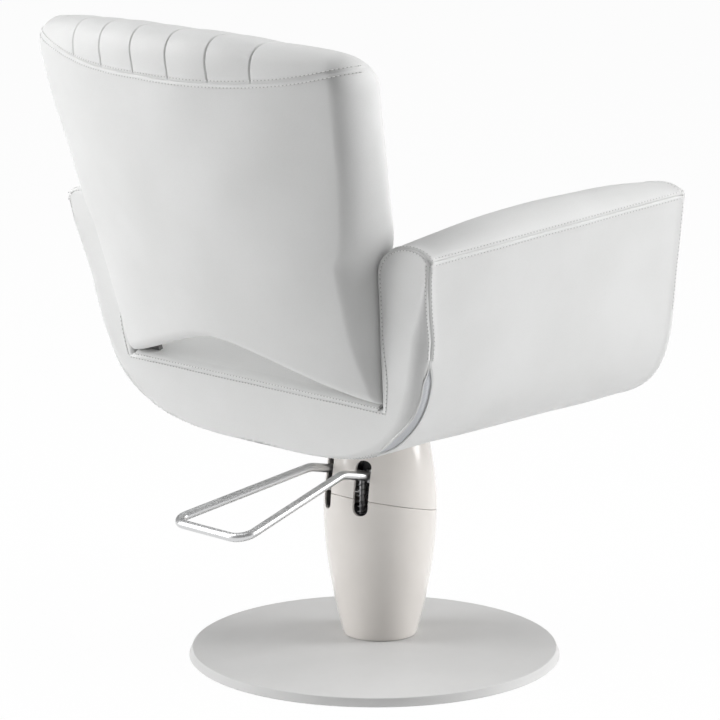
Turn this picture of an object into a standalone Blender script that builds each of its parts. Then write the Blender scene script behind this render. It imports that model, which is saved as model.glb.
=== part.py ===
"""Salon styling chair on a hydraulic pump: disc base, swivelling pump with a foot lever, and an upholstered seat.

Metres, +Z up. The origin is on the floor under the column's axis, and the sitter faces -Y.
"""

import math

import bmesh
import bpy
from mathutils import Matrix, Vector

# Clearances between pieces that touch, and between pieces that run on each other.
GAP = 0.0003
RUN_GAP = 0.0003

# Disc base, eccentric to the column.
DISC_RADIUS = 0.250
DISC_THICK = 0.0115
DISC_EDGE_TAPER = 0.004
DISC_EDGE_CHAMFER = 0.0008
DISC_OFFSET_X = -0.038
DISC_OFFSET_Y = 0.049
FLOOR_PAD_THICK = 0.001
FLOOR_PAD_MARGIN = 0.006

# Spindle that the pump turns on, and its screws.
SPINDLE_FLANGE_RADIUS = 0.042
SPINDLE_FLANGE_THICK = 0.010
SPINDLE_RADIUS = 0.020
SPINDLE_HEIGHT = 0.055
WASHER_THICK = 0.003
BASE_SCREW_CIRCLE = 0.031
BASE_SCREW_RADIUS = 0.004
BASE_SCREW_HEAD_RADIUS = 0.0075
BASE_SCREW_HEAD_HEIGHT = 0.0035
BASE_SCREW_BITE = 0.007
BASE_SCREW_COUNT = 4

# Pump body.
RESERVOIR_RADIUS = 0.045
RESERVOIR_WALL = 0.006
RESERVOIR_HEIGHT = 0.159
RESERVOIR_FLOOR = 0.012
RESERVOIR_ROOF = 0.012
RESERVOIR_FOOT_THICK = 0.005
RAM_RADIUS = 0.018
RAM_FLOOR_GAP = 0.020
HEAD_WALL = 0.0055
HEAD_HEIGHT = 0.104
BUSH_WALL = 0.0030
BUSH_HEIGHT = 0.030
WIPER_THICK = 0.005

# Foot lever on two trunnions of the pump head.
PIVOT_RISE = 0.048
PIN_RADIUS = 0.006
LEVER_BUSH_WALL = 0.002
LEVER_CLIP_THICK = 0.0015
LEVER_CLIP_RADIUS = 0.009
LEVER_ROD_RADIUS = 0.006
LEVER_HALF_SPREAD = 0.0308
LEVER_STUB_TILT = math.radians(12.3)
LEVER_STUB_LENGTH = 0.100
LEVER_FAR_REACH = 0.320
LEVER_FAR_DROP = 0.0175
LEVER_FAR_HALF_SPREAD = 0.065
LEVER_BEND_RADIUS = 0.022
LEVER_CORNER_RADIUS = 0.024
HUB_THICK = 0.012
HUB_EYE_RADIUS = 0.013
HUB_TAIL_HEIGHT = 0.017
HUB_LENGTH = 0.054
HUB_SOCKET_DEPTH = 0.014
CROSS_BAR_RADIUS = 0.004
CROSS_BAR_REACH = 0.034

# Plunger that the lever's cross bar presses, and its return spring.
PLUNGER_RADIUS = 0.005
PLUNGER_LENGTH = 0.100
PLUNGER_CAP_RADIUS = 0.0075
PLUNGER_CAP_THICK = 0.004
PLUNGER_TOP_GAP = 0.0005
SPRING_RADIUS = 0.0066
SPRING_WIRE_RADIUS = 0.0009
SPRING_TURNS = 6

# Two-piece plastic cover of the pump.
COVER_WALL = 0.003
COVER_FOOT_GAP = 0.0006
COVER_FOOT_RADIUS = 0.050
COVER_WAIST_RADIUS = 0.077
COVER_WAIST_HEIGHT = 0.178
COVER_TOP_RADIUS = 0.063
COVER_BULGE_POWER = 1.8
COVER_SPLIT_HEIGHT = 0.186
COVER_SPLIT_SLOPE = 0.24
COVER_SPLIT_GAP = 0.0004
COVER_TOP_RISE = 0.003
COVER_MOUTH_GAP = 0.003
SLOT_WIDTH = 0.020
SLOT_ABOVE_PIVOT = 0.0350
SLOT_BELOW_PIVOT = 0.0405

# Seat board on the tub's floor, mounting plate under its belly, and their bolts.
BELLY_CLEARANCE = 0.0125
BASE_THICK = 0.091
BOARD_THICK = 0.018
BOARD_SIDE_MARGIN = 0.008
BOARD_FRONT = 0.180
BOARD_REAR = 0.205
BOARD_ROOM = 0.002
PLATE_HALF_WIDTH = 0.100
PLATE_THICK = 0.006
PLATE_CORNER = 0.012
PLATE_RISE = 0.024
SOCKET_RADIUS = 0.027
SOCKET_FLANGE_RADIUS = 0.048
SOCKET_FLANGE_THICK = 0.005
SOCKET_HEIGHT = 0.026
SOCKET_ROOF = 0.004
BOLT_RADIUS = 0.004
BOLT_HEAD_RADIUS = 0.0068
BOLT_HEAD_HEIGHT = 0.005
BOLT_BITE = 0.013
PLATE_BOLT_SPACING = 0.075

# Steel struts that carry the backrest.
STRUT_SIDE_MARGIN = 0.028
STRUT_WIDTH = 0.026
STRUT_THICK = 0.006
STRUT_FOOT_LENGTH = 0.062
STRUT_RISE = 0.230
STRUT_LEAN = math.radians(19.0)
STRUT_BOLT_NEAR = 0.015
STRUT_BOLT_PITCH = 0.030
STRUT_BOLT_HEAD_RADIUS = 0.0075
STRUT_BOLT_HEAD_HEIGHT = 0.0035
STRUT_BOLT_SHY = 0.001

# Upholstered tub: belly, flared sides, arms and the leaning rear panel.
BELLY_HALF_WIDTH = 0.2852
BELLY_CURVE_HEIGHT = 0.164
BELLY_ROUNDNESS = 3.1
BELLY_STEPS = 9
SIDE_FLARE = 0.0524
SIDE_HEIGHT = 0.293
TUB_FRONT = -0.245
TUB_FRONT_LEAN = 0.055
TUB_REAR = 0.2359
TUB_REAR_LEAN = 0.101
TUB_REAR_ROUND = 0.017
TUB_FRONT_ROUND = 0.007
TUB_SEAM_EDGE_SHARE = 0.30
TUB_INNER_EDGE_SHARE = 0.15
TUB_CROWN_EDGE_SHARE = 0.5
TUB_BELLY_EDGE_SHARE = 0.55
FLOOR_HALF_WIDTH = 0.236
INNER_FLARE = 0.010
ARM_CROWN_HEIGHT = 0.3410
ARM_CROWN_Y = -0.100
ARM_CROWN_SAG = 0.0305
ARM_CROWN_DIP = 0.002
ARM_SEAM_HEIGHT = 0.309
ARM_SEAM_SLOPE = -0.061
ARM_CROWN_INSET = 0.041
ARM_INNER_ROUND = 0.044
ZIP_WIDTH = 0.006
ZIP_THICK = 0.002
ZIP_FIRST_STEP = 4

# Seat cushion.
CUSHION_CROWN = 0.047
CUSHION_EDGE = 0.018
CUSHION_REAR_EDGE = 0.004
CUSHION_FRONT_OVERHANG = 0.018
CUSHION_SIDE_GAP = 0.0006
CUSHION_REAR_SET = 0.004

# Backrest pad, leaning, curved in plan, with vertical channels on its front and top.
BACK_FOOT_RISE = 0.0060
BACK_HEIGHT = 0.473
BACK_REAR_Y = 0.284
BACK_LEAN_START = 0.488
BACK_LEAN_SAG = 0.0979
BACK_PLAN_SAG = 0.0395
BACK_LOW_WRAP = 0.0332
BACK_HIGH_WRAP = 0.0022
BACK_FOOT_THICK = 0.118
BACK_TOP_THICK = 0.094
BACK_RIDGE_SHARE = 0.62
BACK_TOP_HALF_WIDTH = 0.293
BACK_WAIST_RISE = 0.190
BACK_WAIST_FLARE = 0.0085
BACK_FLARE_POWER = 0.68
BACK_SIDE_GAP = 0.0006
BACK_ARCH_RISE = 0.052
BACK_ARCH_HALF_WIDTH = 0.202
BACK_TOP_DROOP = 0.0075
BACK_CORNER_RADIUS = 0.038
BACK_ROLL_HEIGHT = 0.045
BACK_ROLL_SQUARENESS = 1.7
BACK_REAR_ROUND = 0.048
BACK_FRONT_ROUND = 0.026
BACK_SIDE_SQUARENESS = 2.1
BACK_FOOT_ROUND = 0.024
BACK_FOOT_TAPER_RISE = 0.070
BACK_FOOT_TAPER_SHARE = 0.50
CHANNEL_PITCH = 0.066
CHANNEL_COUNT = 6
CHANNEL_DEPTH = 0.004
CHANNEL_REAR_DROP = 0.064

# Facets round a full turn.
DISC_SIDES = 64
COVER_SIDES = 36
ROUND_SIDES = 24
SMALL_SIDES = 14
ROD_SIDES = 10

# Colours are linear RGB: (colour, metallic, roughness).
FINISHES = {
    "leatherette": ((0.62, 0.62, 0.61), 0.0, 0.45),
    "powder_coat": ((0.62, 0.62, 0.61), 0.0, 0.55),
    "ivory_plastic": ((0.66, 0.61, 0.56), 0.0, 0.18),
    "chrome": ((0.75, 0.76, 0.78), 1.0, 0.08),
    "steel": ((0.45, 0.46, 0.48), 1.0, 0.35),
    "cast_body": ((0.10, 0.10, 0.11), 0.6, 0.45),
    "bronze": ((0.45, 0.30, 0.12), 1.0, 0.35),
    "black_rubber": ((0.02, 0.02, 0.02), 0.0, 0.7),
    "plywood": ((0.50, 0.33, 0.17), 0.0, 0.6),
    "zip_grey": ((0.35, 0.36, 0.38), 0.2, 0.5),
}

# Heights worked out from the sizes above, from the floor up.
DISC_BOTTOM = FLOOR_PAD_THICK + GAP
DISC_TOP = DISC_BOTTOM + DISC_THICK
FLANGE_BOTTOM = DISC_TOP + GAP
FLANGE_TOP = FLANGE_BOTTOM + SPINDLE_FLANGE_THICK
SPINDLE_TOP = FLANGE_TOP + SPINDLE_HEIGHT
WASHER_BOTTOM = FLANGE_TOP + GAP
RESERVOIR_BOTTOM = WASHER_BOTTOM + WASHER_THICK + GAP
RESERVOIR_TOP = RESERVOIR_BOTTOM + RESERVOIR_HEIGHT
HEAD_BOTTOM = RESERVOIR_TOP + GAP
HEAD_TOP = HEAD_BOTTOM + HEAD_HEIGHT
WIPER_BOTTOM = HEAD_TOP + GAP
PIVOT_Z = HEAD_BOTTOM + PIVOT_RISE
COVER_FOOT = DISC_TOP + COVER_FOOT_GAP
COVER_WAIST = DISC_TOP + COVER_WAIST_HEIGHT
COVER_SPLIT = DISC_TOP + COVER_SPLIT_HEIGHT
COVER_TOP = WIPER_BOTTOM + WIPER_THICK + COVER_TOP_RISE
BELLY_Z = COVER_TOP + BELLY_CLEARANCE
FLOOR_Z = BELLY_Z + BASE_THICK
BOARD_TOP = FLOOR_Z
BOARD_BOTTOM = BOARD_TOP - BOARD_THICK
STRUT_TOP = BOARD_BOTTOM - GAP
STRUT_BOTTOM = STRUT_TOP - STRUT_THICK
PLATE_TOP = BELLY_Z + PLATE_RISE
PLATE_BOTTOM = PLATE_TOP - PLATE_THICK
SOCKET_TOP = PLATE_BOTTOM - GAP
SOCKET_BOTTOM = SOCKET_TOP - SOCKET_HEIGHT
RAM_TOP = SOCKET_TOP - SOCKET_ROOF - GAP
RAM_BOTTOM = SPINDLE_TOP + RAM_FLOOR_GAP
RAM_BORE = RAM_RADIUS + RUN_GAP
HEAD_RADIUS = RAM_BORE + HEAD_WALL
BACK_FOOT = FLOOR_Z + BACK_FOOT_RISE
BACK_TOP = BACK_FOOT + BACK_HEIGHT
BOARD_HALF_WIDTH = FLOOR_HALF_WIDTH - BOARD_SIDE_MARGIN
STRUT_X = FLOOR_HALF_WIDTH - STRUT_SIDE_MARGIN

bodies = {}


def empty_the_scene():
    for old in list(bpy.data.objects):
        bpy.data.objects.remove(old, do_unlink=True)


def finish_material(name):
    """The named finish as a Principled material, made once."""
    if name in bpy.data.materials:
        return bpy.data.materials[name]
    colour, metallic, roughness = FINISHES[name]
    material = bpy.data.materials.new(name)
    material.use_nodes = True
    shader = material.node_tree.nodes["Principled BSDF"]
    shader.inputs["Base Color"].default_value = (*colour, 1.0)
    shader.inputs["Metallic"].default_value = metallic
    shader.inputs["Roughness"].default_value = roughness
    material.diffuse_color = (*colour, 1.0)
    return material


def body(name, place=(0.0, 0.0, 0.0)):
    """An empty on a joint's axis, which carries the pieces that move together."""
    carrier = bpy.data.objects.new(f"{name}_body", None)
    carrier.empty_display_size = 0.05
    carrier.location = place
    bpy.context.collection.objects.link(carrier)
    bodies[name] = carrier
    return carrier


def make_object(name, mesh, finish, carrier):
    """An object of a mesh given in world coordinates, parented to its body's empty."""
    mesh.materials.append(finish_material(finish))
    mesh.shade_smooth()
    mesh.set_sharp_from_angle(angle=math.radians(35.0))
    made = bpy.data.objects.new(name, mesh)
    bpy.context.collection.objects.link(made)
    mesh.transform(Matrix.Translation(-bodies[carrier].location))
    made.parent = bodies[carrier]
    return made


def mesh_of(name, builder):
    """A mesh from a bmesh, its doubles merged and its faces turned outwards."""
    bmesh.ops.remove_doubles(builder, verts=builder.verts, dist=1e-7)
    bmesh.ops.recalc_face_normals(builder, faces=builder.faces)
    mesh = bpy.data.meshes.new(name)
    builder.to_mesh(mesh)
    builder.free()
    return mesh


def turned(name, profile, sides, centre=(0.0, 0.0), axis="Z"):
    """A closed (radius, height) profile spun round an axis: Z through centre, or X."""
    builder = bmesh.new()
    points = [builder.verts.new((radius, 0.0, height)) for radius, height in profile]
    edges = [builder.edges.new((a, b)) for a, b in zip(points, points[1:] + points[:1])]
    bmesh.ops.spin(
        builder, geom=points + edges, cent=(0, 0, 0), axis=(0, 0, 1),
        angle=2 * math.pi, steps=sides, use_merge=True,
    )
    mesh = mesh_of(name, builder)
    if axis == "X":
        mesh.transform(Matrix.Rotation(math.radians(90.0), 4, "Y"))
    mesh.transform(Matrix.Translation((centre[0], centre[1], 0.0)))
    return mesh


def ring(inner, outer, low, high):
    """The profile of a plain ring."""
    return [(inner, high), (outer, high), (outer, low), (inner, low)]


def lofted(name, rings, strip_caps=False):
    """Closed loops of points joined in order, with a flat or a strip cap at each end.

    A strip cap joins the first half of a loop to its second half, point by point.
    """
    builder = bmesh.new()
    rows = [[builder.verts.new(point) for point in loop] for loop in rings]
    count = len(rows[0])
    for low, high in zip(rows, rows[1:]):
        for i in range(count):
            j = (i + 1) % count
            builder.faces.new((low[i], low[j], high[j], high[i]))
    for end in (rows[0], rows[-1]):
        if not strip_caps:
            builder.faces.new(end)
            continue
        half = count // 2
        for i in range(half):
            builder.faces.new(list(dict.fromkeys((end[i], end[i + 1], end[-i - 1], end[-i % count]))))
    return mesh_of(name, builder)


def slab(name, outline, low, high, along="Z"):
    """A flat outline pushed from low to high along Z, or a (y, z) outline pushed along X."""
    if along == "Z":
        rings = [[(x, y, level) for x, y in outline] for level in (low, high)]
    else:
        rings = [[(level, y, z) for y, z in outline] for level in (low, high)]
    return lofted(name, rings)


def rod(name, path, radius, sides):
    """A round bar along a list of points, its rings carried without twist."""
    path = [Vector(point) for point in path]
    rings = []
    side = Vector((1.0, 0.0, 0.0))
    for i, point in enumerate(path):
        ahead = (path[min(i + 1, len(path) - 1)] - path[max(i - 1, 0)]).normalized()
        side = (side - ahead * side.dot(ahead)).normalized()
        up = ahead.cross(side)
        turns = [2 * math.pi * k / sides for k in range(sides)]
        rings.append([point + radius * (math.cos(t) * side + math.sin(t) * up) for t in turns])
    return lofted(name, rings)


def rounded_path(corners, radii, steps):
    """The points of a polyline whose inner corners are arcs of the given radii."""
    points = [Vector(corners[0])]
    for before, corner, after, radius in zip(corners, corners[1:], corners[2:], radii):
        before, corner, after = Vector(before), Vector(corner), Vector(after)
        back = (before - corner).normalized()
        on = (after - corner).normalized()
        half = back.angle(on) / 2
        middle = corner + (back + on).normalized() * radius / math.sin(half)
        start = corner + back * radius / math.tan(half) - middle
        end = corner + on * radius / math.tan(half) - middle
        sweep = start.angle(end)
        for k in range(steps + 1):
            part = k / steps
            swing = math.sin((1 - part) * sweep) * start + math.sin(part * sweep) * end
            points.append(middle + swing / math.sin(sweep))
    points.append(Vector(corners[-1]))
    return points


def cut(target, meshes):
    """Takes each closed mesh, given in world coordinates, out of an object."""
    for number, mesh in enumerate(meshes):
        tool = bpy.data.objects.new(f"{target.name}_cutter_{number}", mesh)
        bpy.context.collection.objects.link(tool)
        tool.hide_render = True
        tool.display_type = "WIRE"
        bite = target.modifiers.new(f"cut_{number}", "BOOLEAN")
        bite.operation = "DIFFERENCE"
        bite.solver = "EXACT"
        bite.object = tool


def join(target, meshes):
    """Unites each closed mesh, given in world coordinates, with an object."""
    for number, mesh in enumerate(meshes):
        tool = bpy.data.objects.new(f"{target.name}_joined_{number}", mesh)
        bpy.context.collection.objects.link(tool)
        tool.hide_render = True
        tool.display_type = "WIRE"
        weld = target.modifiers.new(f"join_{number}", "BOOLEAN")
        weld.operation = "UNION"
        weld.solver = "EXACT"
        weld.object = tool


def rod_profile(radius, low, high, chamfer=0.0):
    """The profile of a solid round bar, chamfered at its upper end."""
    profile = [(0.0, high), (radius - chamfer, high)]
    if chamfer:
        profile.append((radius, high - chamfer))
    return profile + [(radius, low), (0.0, low)]


def base_screw_places():
    turn = 2 * math.pi / BASE_SCREW_COUNT
    angles = [turn * (k + 0.5) for k in range(BASE_SCREW_COUNT)]
    return [(BASE_SCREW_CIRCLE * math.cos(a), BASE_SCREW_CIRCLE * math.sin(a)) for a in angles]


def countersunk_profile(grow, head, tip, radius, head_radius, head_height):
    """A countersunk screw's profile from its head's face to its tip, up or down, widened by grow."""
    way = math.copysign(1.0, tip - head)
    return [
        (0.0, tip),
        (radius + grow, tip),
        (radius + grow, head + way * (head_height + grow)),
        (head_radius + grow, head + way * grow),
        (head_radius + grow, head),
        (0.0, head),
    ]


def make_base():
    """The disc on its floor pad, with the spindle screwed to it from below."""
    disc_centre = (DISC_OFFSET_X, DISC_OFFSET_Y)
    foot_radius = DISC_RADIUS - DISC_EDGE_TAPER
    pad = rod_profile(foot_radius - FLOOR_PAD_MARGIN, 0.0, FLOOR_PAD_THICK)
    make_object("floor_pad", turned("floor_pad", pad, DISC_SIDES, disc_centre), "black_rubber", "base")
    disc = [
        (0.0, DISC_TOP),
        (DISC_RADIUS - DISC_EDGE_CHAMFER, DISC_TOP),
        (DISC_RADIUS, DISC_TOP - DISC_EDGE_CHAMFER),
        (foot_radius, DISC_BOTTOM),
        (0.0, DISC_BOTTOM),
    ]
    plate = make_object("base_disc", turned("base_disc", disc, DISC_SIDES, disc_centre), "powder_coat", "base")
    spindle_profile = [
        (0.0, SPINDLE_TOP),
        (SPINDLE_RADIUS, SPINDLE_TOP),
        (SPINDLE_RADIUS, FLANGE_TOP),
        (SPINDLE_FLANGE_RADIUS, FLANGE_TOP),
        (SPINDLE_FLANGE_RADIUS, FLANGE_BOTTOM),
        (0.0, FLANGE_BOTTOM),
    ]
    spindle = make_object("spindle", turned("spindle", spindle_profile, ROUND_SIDES), "steel", "base")
    washer = ring(SPINDLE_RADIUS + RUN_GAP, SPINDLE_FLANGE_RADIUS, WASHER_BOTTOM, WASHER_BOTTOM + WASHER_THICK)
    make_object("thrust_washer", turned("thrust_washer", washer, ROUND_SIDES), "bronze", "base")
    head_low = DISC_BOTTOM
    tip = FLANGE_BOTTOM + BASE_SCREW_BITE
    sizes = (BASE_SCREW_RADIUS, BASE_SCREW_HEAD_RADIUS, BASE_SCREW_HEAD_HEIGHT)
    for number, place in enumerate(base_screw_places(), 1):
        screw = countersunk_profile(0.0, head_low + GAP, tip, *sizes)
        make_object(
            f"base_screw_{number}", turned("base_screw", screw, SMALL_SIDES, place), "steel", "base",
        )
        hole = countersunk_profile(GAP, head_low - GAP, tip + GAP, *sizes)
        cut(plate, [turned("screw_hole", hole, SMALL_SIDES, place)])
        cut(spindle, [turned("screw_hole", hole, SMALL_SIDES, place)])


def cover_radius(height):
    """The barrel's outer radius: a power curve falling from the waist to the foot and to the top."""
    if height < COVER_WAIST:
        away = (COVER_WAIST - height) / (COVER_WAIST - COVER_FOOT)
        return COVER_WAIST_RADIUS - (COVER_WAIST_RADIUS - COVER_FOOT_RADIUS) * away**COVER_BULGE_POWER
    away = (height - COVER_WAIST) / (COVER_TOP - COVER_WAIST)
    return COVER_WAIST_RADIUS - (COVER_WAIST_RADIUS - COVER_TOP_RADIUS) * away**COVER_BULGE_POWER


def split_height(radius, angle, offset):
    """The sloped parting line at a radius and an angle from +X."""
    return COVER_SPLIT + offset + COVER_SPLIT_SLOPE * radius * math.sin(angle)


def cover_shell(name, part):
    """One half of the barrel as a ring of closed wall profiles, cut at the sloped parting line."""
    steps = 7
    rings = []
    for side in range(COVER_SIDES):
        angle = 2 * math.pi * side / COVER_SIDES
        parting = split_height(COVER_WAIST_RADIUS, angle, 0.0)
        if part == "lower":
            low, high = COVER_FOOT, parting - COVER_SPLIT_GAP / 2
        else:
            low, high = parting + COVER_SPLIT_GAP / 2, COVER_TOP
        heights = [low + (high - low) * k / (steps - 1) for k in range(steps)]
        outer = [(cover_radius(h), h) for h in heights]
        inner = [(cover_radius(h) - COVER_WALL, h) for h in reversed(heights)]
        if part == "upper":
            mouth = SOCKET_RADIUS + COVER_MOUTH_GAP
            roof = COVER_TOP - COVER_WALL
            lip = [(mouth, COVER_TOP), (mouth, roof), (cover_radius(roof) - COVER_WALL, roof)]
            inner = lip + inner[1:]
        wall = outer + inner
        rings.append([(r * math.cos(angle), r * math.sin(angle), h) for r, h in wall])
    builder = bmesh.new()
    rows = [[builder.verts.new(point) for point in loop] for loop in rings]
    count = len(rows[0])
    for k, row in enumerate(rows):
        after = rows[(k + 1) % len(rows)]
        for i in range(count):
            j = (i + 1) % count
            builder.faces.new((row[i], after[i], after[j], row[j]))
    return mesh_of(name, builder)


def slot_cutter(side):
    """A round-ended vertical slot through the rear wall, at one lever arm."""
    centre_x = side * LEVER_HALF_SPREAD
    half = SLOT_WIDTH / 2
    top = PIVOT_Z + SLOT_ABOVE_PIVOT - half
    low = PIVOT_Z - SLOT_BELOW_PIVOT + half
    outline = []
    for end, start_angle in ((top, 0.0), (low, math.pi)):
        for k in range(9):
            angle = start_angle + math.pi * k / 8
            outline.append((centre_x + half * math.cos(angle), end + half * math.sin(angle)))
    near, far = LEVER_HALF_SPREAD, 2 * COVER_WAIST_RADIUS
    return lofted("slot", [[(x, y, z) for x, z in outline] for y in (near, far)])


def make_covers():
    """The two plastic shells of the pump, with the lever's slots across their parting line."""
    for part in ("lower", "upper"):
        name = f"{part}_cover"
        shell = make_object(name, cover_shell(name, part), "ivory_plastic", "pump")
        cut(shell, [slot_cutter(-1), slot_cutter(1)])


def make_pump_body():
    """Reservoir, head with trunnions, ram bush and wiper."""
    foot_low, foot_high = RESERVOIR_BOTTOM, RESERVOIR_BOTTOM + RESERVOIR_FOOT_THICK
    foot_radius = cover_radius(foot_low) - COVER_WALL - GAP
    cavity = RESERVOIR_RADIUS - RESERVOIR_WALL
    reservoir = [
        (RAM_BORE, RESERVOIR_TOP),
        (RESERVOIR_RADIUS, RESERVOIR_TOP),
        (RESERVOIR_RADIUS, foot_high),
        (foot_radius, foot_high),
        (foot_radius, foot_low),
        (SPINDLE_RADIUS + RUN_GAP, foot_low),
        (SPINDLE_RADIUS + RUN_GAP, foot_low + RESERVOIR_FLOOR),
        (cavity, foot_low + RESERVOIR_FLOOR),
        (cavity, RESERVOIR_TOP - RESERVOIR_ROOF),
        (RAM_BORE, RESERVOIR_TOP - RESERVOIR_ROOF),
    ]
    tank = make_object("reservoir", turned("reservoir", reservoir, COVER_SIDES), "cast_body", "pump")
    bore = rod_profile(PLUNGER_RADIUS + RUN_GAP, RESERVOIR_TOP - 2 * RESERVOIR_ROOF, RESERVOIR_TOP + RESERVOIR_ROOF)
    cut(tank, [turned("plunger_bore", bore, SMALL_SIDES, (0.0, CROSS_BAR_REACH * math.cos(LEVER_STUB_TILT)))])
    bush_outer = RAM_BORE + BUSH_WALL
    bush_low = HEAD_TOP - BUSH_HEIGHT
    head = [
        (bush_outer + GAP, HEAD_TOP),
        (HEAD_RADIUS, HEAD_TOP),
        (HEAD_RADIUS, HEAD_BOTTOM),
        (RAM_BORE, HEAD_BOTTOM),
        (RAM_BORE, bush_low - GAP),
        (bush_outer + GAP, bush_low - GAP),
    ]
    neck = make_object("pump_head", turned("pump_head", head, ROUND_SIDES), "cast_body", "pump")
    join(neck, [trunnion(-1), trunnion(1)])
    bush = ring(RAM_BORE, bush_outer, bush_low, HEAD_TOP)
    make_object("ram_bush", turned("ram_bush", bush, ROUND_SIDES), "bronze", "pump")
    wiper = ring(RAM_BORE, HEAD_RADIUS, WIPER_BOTTOM, WIPER_BOTTOM + WIPER_THICK)
    make_object("ram_wiper", turned("ram_wiper", wiper, ROUND_SIDES), "black_rubber", "pump")


def hub_span():
    """The x range of a lever hub, whose middle is in line with its rod."""
    return LEVER_HALF_SPREAD - HUB_THICK / 2, LEVER_HALF_SPREAD + HUB_THICK / 2


def across(name, radius, low, high, inner=0.0, y=0.0, z=PIVOT_Z):
    """A round bar or ring along X, from low to high."""
    if inner:
        profile = ring(inner, radius, low, high)
    else:
        profile = rod_profile(radius, low, high)
    mesh = turned(name, profile, SMALL_SIDES, axis="X")
    mesh.transform(Matrix.Translation((0.0, y, z)))
    return mesh


def mirrored_span(side, low, high):
    """A span along X, or the same span on the other side."""
    return (low, high) if side > 0 else (-high, -low)


def trunnion(side):
    """A stub pin on the pump head, long enough for the hub and its clip."""
    tip = hub_span()[1] + GAP + LEVER_CLIP_THICK
    root = (RAM_BORE + BUSH_WALL + HEAD_RADIUS) / 2
    return across("trunnion", PIN_RADIUS, *mirrored_span(side, root, tip))


def stub_direction():
    return Vector((0.0, math.cos(LEVER_STUB_TILT), math.sin(LEVER_STUB_TILT)))


def along_stub(distance, x=0.0):
    """A point on the lever's stub line, at a distance from the pivot."""
    return Vector((x, 0.0, PIVOT_Z)) + distance * stub_direction()


def cross_bar_place():
    return along_stub(CROSS_BAR_REACH)


def lever_path():
    """The bent rod: out of one hub, down to the far bar, across and back into the other hub."""
    start = HUB_LENGTH - HUB_SOCKET_DEPTH + GAP
    far_z = PIVOT_Z - LEVER_FAR_DROP
    right = [
        along_stub(start, -LEVER_HALF_SPREAD),
        along_stub(LEVER_STUB_LENGTH, -LEVER_HALF_SPREAD),
        Vector((-LEVER_FAR_HALF_SPREAD, LEVER_FAR_REACH, far_z)),
    ]
    left = [Vector((-point.x, point.y, point.z)) for point in reversed(right)]
    radii = [LEVER_BEND_RADIUS, LEVER_CORNER_RADIUS, LEVER_CORNER_RADIUS, LEVER_BEND_RADIUS]
    return rounded_path(right + left, radii, 5)


def hub_outline():
    """The side view of a hub: a round eye with a tail along the stub line."""
    along = stub_direction()
    aside = Vector((0.0, -along.z, along.y))
    half = HUB_TAIL_HEIGHT / 2
    lean = math.asin(half / HUB_EYE_RADIUS)
    outline = []
    steps = 14
    for k in range(steps + 1):
        angle = lean + (2 * math.pi - 2 * lean) * k / steps
        outline.append(along * HUB_EYE_RADIUS * math.cos(angle) + aside * HUB_EYE_RADIUS * math.sin(angle))
    outline.append(along * HUB_LENGTH - aside * half)
    outline.append(along * HUB_LENGTH + aside * half)
    return [(point.y, PIVOT_Z + point.z) for point in outline]


def make_lever():
    """The chrome lever: bent rod, two hubs on bushes and clips, and the bar that presses the plunger."""
    make_object("lever_rod", rod("lever_rod", lever_path(), LEVER_ROD_RADIUS, ROD_SIDES), "chrome", "lever")
    low, high = hub_span()
    bar = cross_bar_place()
    bush_radius = PIN_RADIUS + RUN_GAP + LEVER_BUSH_WALL
    for side, label in ((-1, "right"), (1, "left")):
        hub_low, hub_high = mirrored_span(side, low, high)
        hub_mesh = slab("lever_hub", hub_outline(), hub_low, hub_high, along="X")
        hub = make_object(f"lever_hub_{label}", hub_mesh, "steel", "lever")
        over = HUB_THICK
        pivot_bore = across("pivot_bore", bush_radius + GAP, hub_low - over, hub_high + over)
        bar_bore = across(
            "bar_bore", CROSS_BAR_RADIUS + GAP, hub_low - over, hub_high + over, y=bar.y, z=bar.z,
        )
        x = side * LEVER_HALF_SPREAD
        socket_path = [along_stub(HUB_LENGTH - HUB_SOCKET_DEPTH, x), along_stub(HUB_LENGTH + over, x)]
        socket = rod("rod_socket", socket_path, LEVER_ROD_RADIUS + GAP, ROD_SIDES)
        cut(hub, [pivot_bore, bar_bore, socket])
        bush = across("lever_bush", bush_radius, hub_low, hub_high, inner=PIN_RADIUS + RUN_GAP)
        make_object(f"lever_bush_{label}", bush, "bronze", "lever")
        clip_span = mirrored_span(side, high + GAP, high + GAP + LEVER_CLIP_THICK)
        clip = across("lever_clip", LEVER_CLIP_RADIUS, *clip_span, inner=PIN_RADIUS + GAP)
        make_object(f"lever_clip_{label}", clip, "steel", "pump")
    bar_mesh = across("lever_cross_bar", CROSS_BAR_RADIUS, -high, high, y=bar.y, z=bar.z)
    make_object("lever_cross_bar", bar_mesh, "steel", "lever")


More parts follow.
